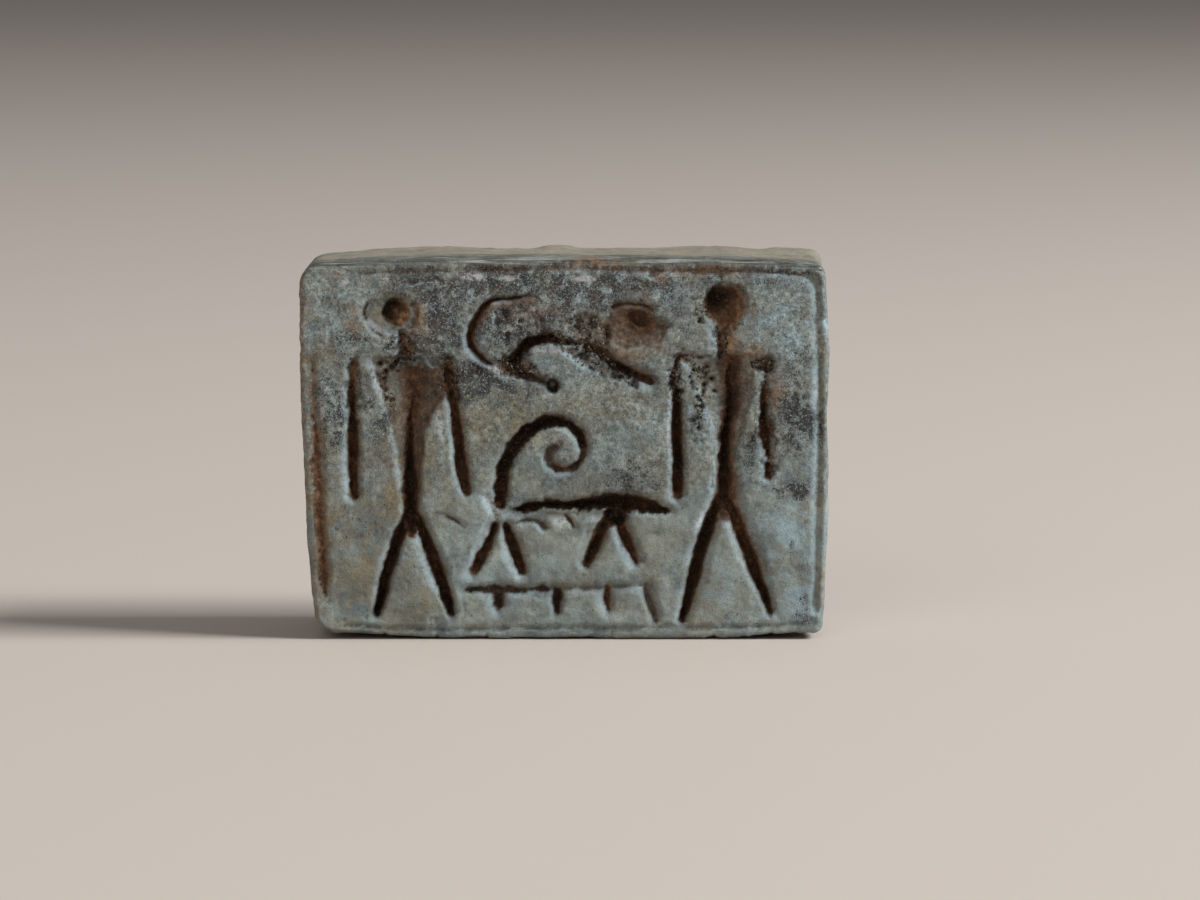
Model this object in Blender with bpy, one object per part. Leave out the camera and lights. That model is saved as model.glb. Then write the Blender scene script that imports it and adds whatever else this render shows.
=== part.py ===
"""Engraved amulet bead: one small block of pale grey-green soft stone.

It stands on its long narrow side, engraved face towards -Y, +Z up. Two standing
figures frame a coiled-tailed animal on a toothed ground line, with a long-backed
creature above it. A thin worn border line runs round the face. A string bore
runs lengthwise, along X.

All sizes below are in millimetres and become metres through MM.
"""

import math

import bmesh
import bpy
from mathutils import Vector

MM = 0.001

# --- block -----------------------------------------------------------------
HALF_WIDTH = 8.05        # half the long side, along X
HEIGHT = 11.70           # standing height, along Z
THICKNESS = 5.50         # front to back, along Y
FACE_Y = -THICKNESS / 2  # the engraved face

LEFT_LEAN = 0.45         # how far the left side draws in towards the base
LEFT_FULL_Z = 9.2        # height where the left side is widest
RIGHT_BULGE = 0.15       # bow of the right side
RIGHT_FULL_Z = 6.6       # height where the right side is widest
BASE_FLAT_X = 3.6        # the underside is flat this far out from the middle
BASE_RISE = 0.20         # and rises by this much at its ends
TOP_DROP = 0.20          # the top falls by this much at its ends

CORNER_RADII = {"bottom_left": 0.75, "bottom_right": 0.32, "top_right": 0.38, "top_left": 0.60}
FRONT_ROUND = {"left": 0.16, "right": 0.14, "bottom": 0.12, "top": 0.30}
BACK_ROUND = {"left": 0.35, "right": 0.35, "bottom": 0.30, "top": 0.45}
FRONT_ROUND_DEPTH = 0.22
BACK_ROUND_DEPTH = 0.40
ROUND_STEPS = 3

# --- string bore -------------------------------------------------------------
BORE_RADIUS = 1.0
BORE_MOUTH_RADIUS = 1.3
BORE_MOUTH_DEPTH = 0.4
BORE_Z = HEIGHT / 2
BORE_SIDES = 24

# --- engraving ---------------------------------------------------------------
ABOVE_FACE = 0.35        # the cutters stick out of the face by this much
BORDER_INSET = 0.27
BORDER_HALF_WIDTH = 0.075
BORDER_DEPTH = 0.10


# --- shape of the block ------------------------------------------------------

def left_x(z):
    short = max(0.0, LEFT_FULL_Z - z) / LEFT_FULL_Z
    return -(HALF_WIDTH - LEFT_LEAN * short ** 1.7)


def right_x(z):
    return HALF_WIDTH - RIGHT_BULGE * ((z - RIGHT_FULL_Z) / (HEIGHT - RIGHT_FULL_Z)) ** 2


def base_z(x):
    out = max(0.0, abs(x) - BASE_FLAT_X) / (HALF_WIDTH - BASE_FLAT_X)
    return BASE_RISE * out ** 1.5


def top_z(x):
    return HEIGHT - TOP_DROP * (abs(x) / HALF_WIDTH) ** 3


def warp(x, z):
    """From the ideal rectangle to the hand-made outline."""
    side = right_x(z) if x > 0 else -left_x(z)
    low, high = base_z(x), top_z(x)
    return x * side / HALF_WIDTH, low + z * (high - low) / HEIGHT


def outline(inset, long_steps=10, short_steps=7, corner_steps=4):
    """The outline in X and Z, anticlockwise seen from the front, drawn in by the insets."""
    x0, x1 = -HALF_WIDTH + inset["left"], HALF_WIDTH - inset["right"]
    z0, z1 = inset["bottom"], HEIGHT - inset["top"]
    shrink = sum(inset.values()) / 4
    corners = [
        ("bottom_left", x0, z0, 180), ("bottom_right", x1, z0, 270),
        ("top_right", x1, z1, 0), ("top_left", x0, z1, 90),
    ]
    arcs = []
    for name, cx, cz, start in corners:
        r = max(CORNER_RADII[name] - shrink, 0.12)
        ox = cx + r if cx < 0 else cx - r
        oz = cz + r if cz < HEIGHT / 2 else cz - r
        arcs.append([
            (ox + r * math.cos(math.radians(start + 90 * k / corner_steps)),
             oz + r * math.sin(math.radians(start + 90 * k / corner_steps)))
            for k in range(corner_steps + 1)
        ])
    points = []
    for i, arc in enumerate(arcs):
        points += arc
        (ax, az), (bx, bz) = arc[-1], arcs[(i + 1) % 4][0]
        steps = long_steps if i % 2 == 0 else short_steps
        points += [(ax + (bx - ax) * k / steps, az + (bz - az) * k / steps) for k in range(1, steps)]
    return [warp(x, z) for x, z in points]


def even_inset(amount):
    return {side: amount for side in ("left", "right", "bottom", "top")}


def block_rings():
    """Outline rings from the engraved face to the back, with their Y."""
    rings = []
    for k in range(ROUND_STEPS + 1):
        a = math.radians(90 * k / ROUND_STEPS)
        inset = {s: r * (1 - math.sin(a)) for s, r in FRONT_ROUND.items()}
        rings.append((FACE_Y + FRONT_ROUND_DEPTH * (1 - math.cos(a)), outline(inset)))
    for k in range(ROUND_STEPS, -1, -1):
        a = math.radians(90 * k / ROUND_STEPS)
        inset = {s: r * (1 - math.sin(a)) for s, r in BACK_ROUND.items()}
        rings.append((-FACE_Y - BACK_ROUND_DEPTH * (1 - math.cos(a)), outline(inset)))
    return rings


# --- mesh helpers --------------------------------------------------------------

def loft(bm, rings, closed=False):
    """Joins rings of equal length, each a list of points in mm, and caps the ends."""
    verts = [[bm.verts.new(Vector(p) * MM) for p in ring] for ring in rings]
    n = len(verts[0])
    pairs = list(zip(verts, verts[1:]))
    if closed:
        pairs.append((verts[-1], verts[0]))
    for a, b in pairs:
        for i in range(n):
            j = (i + 1) % n
            bm.faces.new((a[i], a[j], b[j], b[i]))
    if not closed:
        bm.faces.new(list(reversed(verts[0])))
        bm.faces.new(verts[-1])


def make_object(name, bm, collection, cutter=False):
    bmesh.ops.recalc_face_normals(bm, faces=bm.faces)
    mesh = bpy.data.meshes.new(name)
    bm.to_mesh(mesh)
    bm.free()
    obj = bpy.data.objects.new(name, mesh)
    collection.objects.link(obj)
    if cutter:
        obj.hide_render = True
        obj.display_type = "WIRE"
    return obj


def smooth_curve(points, steps):
    """A Catmull-Rom curve through tuples of any length, with steps spans between each pair."""
    padded = [points[0]] + list(points) + [points[-1]]
    out = []
    for p0, p1, p2, p3 in zip(padded, padded[1:], padded[2:], padded[3:]):
        for k in range(steps):
            t = k / steps
            out.append(tuple(
                0.5 * (2 * b + (c - a) * t + (2 * a - 5 * b + 4 * c - d) * t * t + (3 * b - a - 3 * c + d) * t ** 3)
                for a, b, c, d in zip(p0, p1, p2, p3)
            ))
    out.append(tuple(points[-1]))
    return out


def section(centre, normal, half_width, depth):
    """One cross-section of a graver's stroke: steep walls on a rounded floor."""
    shape = [(-1.3, None), (-1.0, 0.0), (-0.62, 0.72), (0.0, 1.0), (0.62, 0.72), (1.0, 0.0), (1.3, None)]
    ring = []
    for across, down in shape:
        x = centre[0] + normal[0] * across * half_width
        z = centre[1] + normal[1] * across * half_width
        y = FACE_Y - ABOVE_FACE if down is None else FACE_Y + down * depth
        ring.append((x, y, z))
    return ring


def normals_along(path, closed=False):
    out = []
    last = len(path) - 1
    for i in range(len(path)):
        before = path[i - 1] if closed or i else path[0]
        after = path[(i + 1) % len(path)] if closed or i < last else path[last]
        dx, dz = after[0] - before[0], after[1] - before[1]
        size = math.hypot(dx, dz)
        out.append((-dz / size, dx / size))
    return out


def stroke(name, points, depth, collection, steps=2, blunt=0.5):
    """A cut stroke. Each point is X, Z and the half width there; both ends run out shallow."""
    path = smooth_curve(points, steps)
    lengths = [0.0]
    for a, b in zip(path, path[1:]):
        lengths.append(lengths[-1] + math.hypot(b[0] - a[0], b[1] - a[1]))
    total = lengths[-1]
    # A short run-in and run-out, so that the ends are boat-shaped.
    widest = max(p[2] for p in path)
    run = min(0.3 * total, 1.6 * widest)
    stations = sorted({0.0, run * 0.35, run, total - run, total - run * 0.35, total}
                      | {s for s in lengths if run * 1.2 < s < total - run * 1.2})
    dense = []
    for s in stations:
        i = max(k for k in range(len(lengths)) if lengths[k] <= s + 1e-9)
        i = min(i, len(lengths) - 2)
        t = (s - lengths[i]) / (lengths[i + 1] - lengths[i])
        p = tuple(a + (b - a) * t for a, b in zip(path[i], path[i + 1]))
        near_end = min(s, total - s)
        ease = math.sqrt(max(0.0, 1 - (1 - min(1.0, near_end / run)) ** 2))
        dense.append((p[0], p[1], p[2] * (blunt + (1 - blunt) * ease), depth * (0.3 + 0.7 * ease)))
    bm = bmesh.new()
    normals = normals_along(dense)
    loft(bm, [section(p, n, p[2], p[3]) for p, n in zip(dense, normals)])
    return make_object(name, bm, collection, cutter=True)


def bowl(name, x, z, rx, rz, depth, collection, sides=20, floor=0.35, tilt=0.0):
    """A round or oval drilled hollow, with a rounded floor."""
    levels = [(None, 1.08), (0.0, 1.0), (0.45, 0.90), (0.82, 0.68), (1.0, floor)]
    rings = []
    for down, scale in levels:
        y = FACE_Y - ABOVE_FACE if down is None else FACE_Y + down * depth
        ring = []
        for k in range(sides):
            a = 2 * math.pi * k / sides
            u, w = rx * scale * math.cos(a), rz * scale * math.sin(a)
            ct, st = math.cos(tilt), math.sin(tilt)
            ring.append((x + u * ct - w * st, y, z + u * st + w * ct))
        rings.append(ring)
    bm = bmesh.new()
    loft(bm, rings)
    return make_object(name, bm, collection, cutter=True)


# --- motifs ---------------------------------------------------------------------

def left_man(col):
    bowl("cut_left_head_rim", -5.20, 10.03, 0.72, 0.72, 0.16, col, floor=0.6)
    bowl("cut_left_head", -5.10, 10.09, 0.41, 0.41, 1.0, col, sides=16, floor=0.4)
    stroke("cut_left_neck", [(-4.98, 9.85, 0.20), (-4.92, 8.55, 0.24)], 0.30, col)
    stroke("cut_left_torso", [(-4.55, 8.72, 1.02), (-4.58, 8.0, 0.95), (-4.60, 6.2, 0.38), (-4.64, 4.2, 0.24)], 0.34, col, blunt=0.9)
    stroke("cut_left_spine", [(-4.66, 7.9, 0.12), (-4.66, 6.2, 0.17), (-4.66, 4.2, 0.23), (-4.66, 3.2, 0.25)], 0.75, col)
    stroke("cut_left_outer_arm", [(-6.38, 8.65, 0.12), (-6.38, 6.6, 0.16), (-6.38, 4.42, 0.17)], 0.50, col)
    stroke("cut_left_inner_arm", [(-3.50, 8.55, 0.17), (-3.38, 7.0, 0.18), (-2.90, 4.52, 0.19)], 0.50, col)
    stroke("cut_left_outer_leg", [(-4.74, 3.75, 0.16), (-5.15, 2.5, 0.18), (-5.80, 0.66, 0.15)], 0.55, col)
    stroke("cut_left_inner_leg", [(-4.60, 3.95, 0.18), (-4.05, 2.4, 0.22), (-3.38, 0.72, 0.14)], 0.55, col)


def right_man(col):
    bowl("cut_right_head", 4.95, 10.22, 0.67, 0.66, 0.85, col, floor=0.45)
    stroke("cut_right_neck", [(4.85, 9.85, 0.24), (4.85, 8.6, 0.22)], 0.35, col)
    stroke("cut_right_torso", [(5.20, 8.62, 0.85), (5.16, 8.0, 0.80), (5.06, 6.2, 0.45), (4.86, 4.3, 0.30)], 0.32, col, blunt=0.9)
    stroke("cut_right_spine", [(5.12, 8.45, 0.22), (5.06, 6.5, 0.28), (4.94, 5.0, 0.26), (4.84, 3.9, 0.26)], 0.75, col)
    stroke("cut_right_inner_arm", [(4.30, 8.70, 0.13), (3.75, 8.66, 0.15), (3.43, 8.30, 0.15), (3.42, 7.40, 0.15), (3.46, 4.28, 0.17)], 0.50, col)
    stroke("cut_right_outer_arm", [(5.92, 8.42, 0.15), (6.22, 8.18, 0.17), (6.10, 7.50, 0.16), (6.15, 6.20, 0.15), (6.27, 4.72, 0.14)], 0.45, col)
    stroke("cut_right_inner_leg", [(4.74, 4.30, 0.20), (4.36, 3.20, 0.23), (3.64, 0.48, 0.15)], 0.55, col)
    stroke("cut_right_outer_leg", [(4.98, 4.30, 0.20), (5.48, 3.00, 0.24), (6.36, 0.78, 0.17)], 0.55, col)


def long_creature(col):
    """The creature above: a curled forepart, a long back and one low stroke, with an oval hollow."""
    stroke("cut_creature_curl", [(-1.00, 10.62, 0.12), (-1.85, 10.46, 0.13), (-2.52, 10.12, 0.13), (-2.86, 9.50, 0.14), (-2.66, 8.78, 0.14), (-1.78, 8.10, 0.13)], 0.40, col)
    stroke("cut_creature_back", [(-1.60, 8.45, 0.20), (-1.05, 9.12, 0.22), (-0.45, 9.40, 0.20), (0.60, 9.05, 0.20), (1.50, 8.50, 0.20), (2.76, 7.82, 0.16)], 0.50, col)
    stroke("cut_creature_leg", [(-1.66, 8.40, 0.13), (-0.87, 8.08, 0.14), (-0.05, 7.72, 0.15)], 0.42, col)
    bowl("cut_creature_hollow", 2.27, 9.64, 0.95, 0.68, 0.28, col, floor=0.5, tilt=math.radians(-12))
    bowl("cut_creature_hollow_deep", 2.52, 9.72, 0.42, 0.40, 0.50, col, sides=14, floor=0.4)


def tail_spiral(turns_from=220.0, turns_to=-249.0, points=26):
    """The animal's tail: a tight coil that opens into a long rise from the rump."""
    centre_x, centre_z = -0.10, 5.75
    coil_outer, coil_inner = 1.15, 0.20
    rise, rise_span = 1.25, 0.09
    path = []
    for k in range(points + 1):
        t = k / points
        a = math.radians(turns_from + (turns_to - turns_from) * t)
        r = coil_outer + (coil_inner - coil_outer) * t + rise * math.exp(-t / rise_span)
        half = 0.165 - 0.075 * t
        path.append((centre_x + r * math.cos(a), centre_z + r * math.sin(a), half))
    return path


def coiled_tail_animal(col):
    stroke("cut_animal_tail", tail_spiral(), 0.42, col, steps=1)
    stroke("cut_animal_body", [(-2.05, 3.86, 0.15), (-1.00, 3.98, 0.14), (0.20, 4.08, 0.19), (1.30, 4.06, 0.28), (2.15, 4.10, 0.32), (2.80, 4.10, 0.20), (3.22, 4.02, 0.08)], 0.50, col)
    for name, points in {
        "cut_animal_hind_leg_outer": [(-2.02, 3.60, 0.11), (-2.72, 2.08, 0.14)],
        "cut_animal_hind_leg_inner": [(-1.74, 3.66, 0.13), (-1.26, 1.93, 0.17)],
        "cut_animal_fore_leg_inner": [(1.44, 3.90, 0.18), (1.22, 3.30, 0.20), (0.64, 2.14, 0.16)],
        "cut_animal_fore_leg_outer": [(1.60, 3.90, 0.16), (1.80, 3.30, 0.18), (2.22, 2.30, 0.13)],
    }.items():
        stroke(name, points, 0.45, col)


def toothed_ground(col):
    stroke("cut_ground_line", [(-3.02, 1.55, 0.08), (0.0, 1.58, 0.09), (2.68, 1.66, 0.08)], 0.22, col)
    for name, x, x_end, z_end, half in (
        ("cut_ground_tooth_a", -1.95, -1.95, 1.00, 0.14),
        ("cut_ground_tooth_b", -0.34, -0.20, 0.74, 0.14),
        ("cut_ground_tooth_c", 1.38, 1.42, 0.92, 0.11),
        ("cut_ground_tooth_d", 2.50, 2.82, 0.48, 0.11),
    ):
        stroke(name, [(x, 1.66, half), (x_end, z_end, half * 0.8)], 0.32, col)


def border_line(col):
    path = outline(even_inset(BORDER_INSET), long_steps=8, short_steps=6, corner_steps=3)
    normals = normals_along(path, closed=True)
    bm = bmesh.new()
    half, deep = BORDER_HALF_WIDTH, BORDER_DEPTH
    rings = []
    for p, n in zip(path, normals):
        rings.append([
            (p[0] + n[0] * across * half, y, p[1] + n[1] * across * half)
            for across, y in ((-1.5, FACE_Y - ABOVE_FACE), (-1.0, FACE_Y), (0.0, FACE_Y + deep), (1.0, FACE_Y), (1.5, FACE_Y - ABOVE_FACE))
        ])
    loft(bm, rings, closed=True)
    return make_object("cut_border_line", bm, col, cutter=True)


def string_bore(col):
    """Lengthwise bore with slightly opened mouths."""
    reach = HALF_WIDTH + 0.6
    mouth = HALF_WIDTH - BORE_MOUTH_DEPTH
    wide = BORE_RADIUS + (BORE_MOUTH_RADIUS - BORE_RADIUS) * (reach - mouth) / BORE_MOUTH_DEPTH
    rings = []
    for x, r in ((-reach, wide), (-mouth, BORE_RADIUS), (mouth, BORE_RADIUS), (reach, wide)):
        rings.append([
            (x, r * math.cos(2 * math.pi * k / BORE_SIDES), BORE_Z + r * math.sin(2 * math.pi * k / BORE_SIDES))
            for k in range(BORE_SIDES)
        ])
    bm = bmesh.new()
    loft(bm, rings)
    return make_object("cut_string_bore", bm, col, cutter=True)


def stone_material():
    mat = bpy.data.materials.new("stone")
    mat.use_nodes = True
    shader = mat.node_tree.nodes["Principled BSDF"]
    shader.inputs["Base Color"].default_value = (0.30, 0.31, 0.27, 1.0)
    shader.inputs["Roughness"].default_value = 0.62
    shader.inputs["Metallic"].default_value = 0.0
    return mat


def build():
    for obj in list(bpy.data.objects):
        bpy.data.objects.remove(obj, do_unlink=True)
    scene_collection = bpy.context.scene.collection

    bm = bmesh.new()
    loft(bm, [[(x, y, z) for x, z in ring] for y, ring in block_rings()])
    bead = make_object("amulet_bead", bm, scene_collection)
    bead.data.materials.append(stone_material())

    cutters = bpy.data.collections.new("engraving")
    scene_collection.children.link(cutters)
    for motif in (left_man, right_man, long_creature, coiled_tail_animal, toothed_ground, border_line, string_bore):
        motif(cutters)

    cut = bead.modifiers.new("engraving", "BOOLEAN")
    cut.operation = "DIFFERENCE"
    cut.operand_type = "COLLECTION"
    cut.collection = cutters
    cut.solver = "EXACT"
    cut.use_self = True

    bead.data.shade_smooth()
    bead.data.set_sharp_from_angle(angle=math.radians(35))


build()
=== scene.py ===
"""The engraved amulet bead, finished: worn carving, stone, dirt and light.

Lengths in the helpers are millimetres; MM turns them into metres.
"""

import math

import bpy
import numpy as np
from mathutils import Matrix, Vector


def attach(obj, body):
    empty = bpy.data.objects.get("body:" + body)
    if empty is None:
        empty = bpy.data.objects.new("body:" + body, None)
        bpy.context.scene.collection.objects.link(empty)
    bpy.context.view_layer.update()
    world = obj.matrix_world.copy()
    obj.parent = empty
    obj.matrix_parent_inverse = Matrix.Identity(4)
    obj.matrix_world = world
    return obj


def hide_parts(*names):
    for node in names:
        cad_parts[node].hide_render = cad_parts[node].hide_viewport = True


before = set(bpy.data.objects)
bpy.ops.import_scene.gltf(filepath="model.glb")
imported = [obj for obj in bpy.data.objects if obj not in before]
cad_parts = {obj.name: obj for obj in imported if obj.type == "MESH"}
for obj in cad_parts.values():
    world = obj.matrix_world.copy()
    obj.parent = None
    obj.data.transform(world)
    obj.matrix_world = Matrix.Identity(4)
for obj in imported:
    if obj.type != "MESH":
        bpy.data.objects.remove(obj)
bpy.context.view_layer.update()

MM = 0.001

# --- block, as in the CAD model ------------------------------------------------
HALF_WIDTH, HEIGHT, THICKNESS = 8.05, 11.70, 5.50
FACE_Y = -THICKNESS / 2
LEFT_LEAN, LEFT_FULL_Z = 0.45, 9.2
RIGHT_BULGE, RIGHT_FULL_Z = 0.15, 6.6
BASE_FLAT_X, BASE_RISE, TOP_DROP = 3.6, 0.20, 0.20
CORNERS = {"bl": 0.66, "br": 0.24, "tr": 0.34, "tl": 0.66}
FRONT_ROUND = {"left": 0.16, "right": 0.14, "bottom": 0.12, "top": 0.30}
BACK_ROUND = {"left": 0.35, "right": 0.35, "bottom": 0.30, "top": 0.45}
FRONT_ROUND_DEPTH, BACK_ROUND_DEPTH = 0.22, 0.40
BORE_RADIUS, BORE_MOUTH_RADIUS, BORE_Z = 1.0, 1.25, HEIGHT / 2

# --- mesh density ----------------------------------------------------------------
NX, NZ = 288, 212        # cells across and up the engraved face, both even
ROUND_RINGS = 5
SIDE_RINGS = 24
BACK_RINGS = 4
BORE_RINGS = 20


# --- repeatable noise --------------------------------------------------------------

def lattice(i, j, k, seed):
    h = (i.astype(np.int64) * 374761393 + j.astype(np.int64) * 668265263
         + k.astype(np.int64) * 1274126177 + seed * 974634777) & 0xFFFFFFFF
    h = ((h ^ (h >> 13)) * 1103515245) & 0xFFFFFFFF
    h = ((h ^ (h >> 16)) * 2246822519) & 0xFFFFFFFF
    return ((h ^ (h >> 15)) & 0xFFFFFF) / float(0xFFFFFF)


def value_noise(p, seed):
    base = np.floor(p).astype(np.int64)
    f = p - base
    f = f * f * (3 - 2 * f)
    out = np.zeros(len(p))
    for dx in (0, 1):
        wx = f[:, 0] if dx else 1 - f[:, 0]
        for dy in (0, 1):
            wy = f[:, 1] if dy else 1 - f[:, 1]
            for dz in (0, 1):
                wz = f[:, 2] if dz else 1 - f[:, 2]
                out += wx * wy * wz * lattice(base[:, 0] + dx, base[:, 1] + dy, base[:, 2] + dz, seed)
    return out * 2 - 1


def fbm(p, scale, seed, octaves=4, stretch=(1, 1, 1), gain=0.5):
    """Fractal noise about -1 to 1. scale is features per millimetre."""
    q = np.asarray(p, float) * (scale * np.asarray(stretch, float))
    total, weight, norm = np.zeros(len(q)), 1.0, 0.0
    for o in range(octaves):
        total += weight * value_noise(q + 17.31 * o, seed + 31 * o)
        norm += weight
        q = q * 2.03
        weight *= gain
    return total / norm * 1.6


def smooth(t):
    t = np.clip(t, 0, 1)
    return t * t * (3 - 2 * t)


# --- outline ---------------------------------------------------------------------------

def side_x(x, z):
    left = HALF_WIDTH - LEFT_LEAN * (np.maximum(0, LEFT_FULL_Z - z) / LEFT_FULL_Z) ** 1.7
    right = HALF_WIDTH - RIGHT_BULGE * ((z - RIGHT_FULL_Z) / (HEIGHT - RIGHT_FULL_Z)) ** 2
    return np.where(x > 0, right, left)


def warp(x, z):
    out = np.maximum(0, np.abs(x) - BASE_FLAT_X) / (HALF_WIDTH - BASE_FLAT_X)
    low = BASE_RISE * out ** 1.5
    high = HEIGHT - TOP_DROP * (np.abs(x) / HALF_WIDTH) ** 3
    return x * side_x(x, z) / HALF_WIDTH, low + z * (high - low) / HEIGHT


def plan(u, v, inset):
    """From 0..1 across and up to the hand-made outline drawn in by the insets."""
    x0, x1 = -HALF_WIDTH + inset["left"], HALF_WIDTH - inset["right"]
    z0, z1 = inset["bottom"], HEIGHT - inset["top"]
    x, z = x0 + (x1 - x0) * u, z0 + (z1 - z0) * v
    shrink = sum(inset.values()) / 4
    for name, cx, cz, sx, sz in (("bl", x0, z0, -1, -1), ("br", x1, z0, 1, -1), ("tr", x1, z1, 1, 1), ("tl", x0, z1, -1, 1)):
        r = max(CORNERS[name] - shrink, 0.12)
        ox, oz = cx - sx * r, cz - sz * r
        a = np.clip((x - ox) * sx / r, 0, 1)
        b = np.clip((z - oz) * sz / r, 0, 1)
        inside = (a > 0) & (b > 0)
        x = np.where(inside, ox + sx * r * a * np.sqrt(1 - b * b / 2), x)
        z = np.where(inside, oz + sz * r * b * np.sqrt(1 - a * a / 2), z)
    return warp(x, z)


def rounding(table, angle):
    return {s: r * (1 - math.sin(angle)) for s, r in table.items()}


def border_uv(nx, nz):
    """Anticlockwise round the unit square, from its lower left corner."""
    u = [i / nx for i in range(nx)] + [1.0] * nz + [i / nx for i in range(nx, 0, -1)] + [0.0] * nz
    v = [0.0] * nx + [j / nz for j in range(nz)] + [1.0] * nx + [j / nz for j in range(nz, 0, -1)]
    return np.array(u), np.array(v)


def border_index(nx, nz):
    """Where the border runs in a grid of (nz + 1) rows of (nx + 1) points."""
    row = nx + 1
    return np.array(
        [i for i in range(nx)] + [j * row + nx for j in range(nz)]
        + [nz * row + i for i in range(nx, 0, -1)] + [j * row for j in range(nz, 0, -1)]
    )


# --- the closed mesh ----------------------------------------------------------------------

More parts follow.
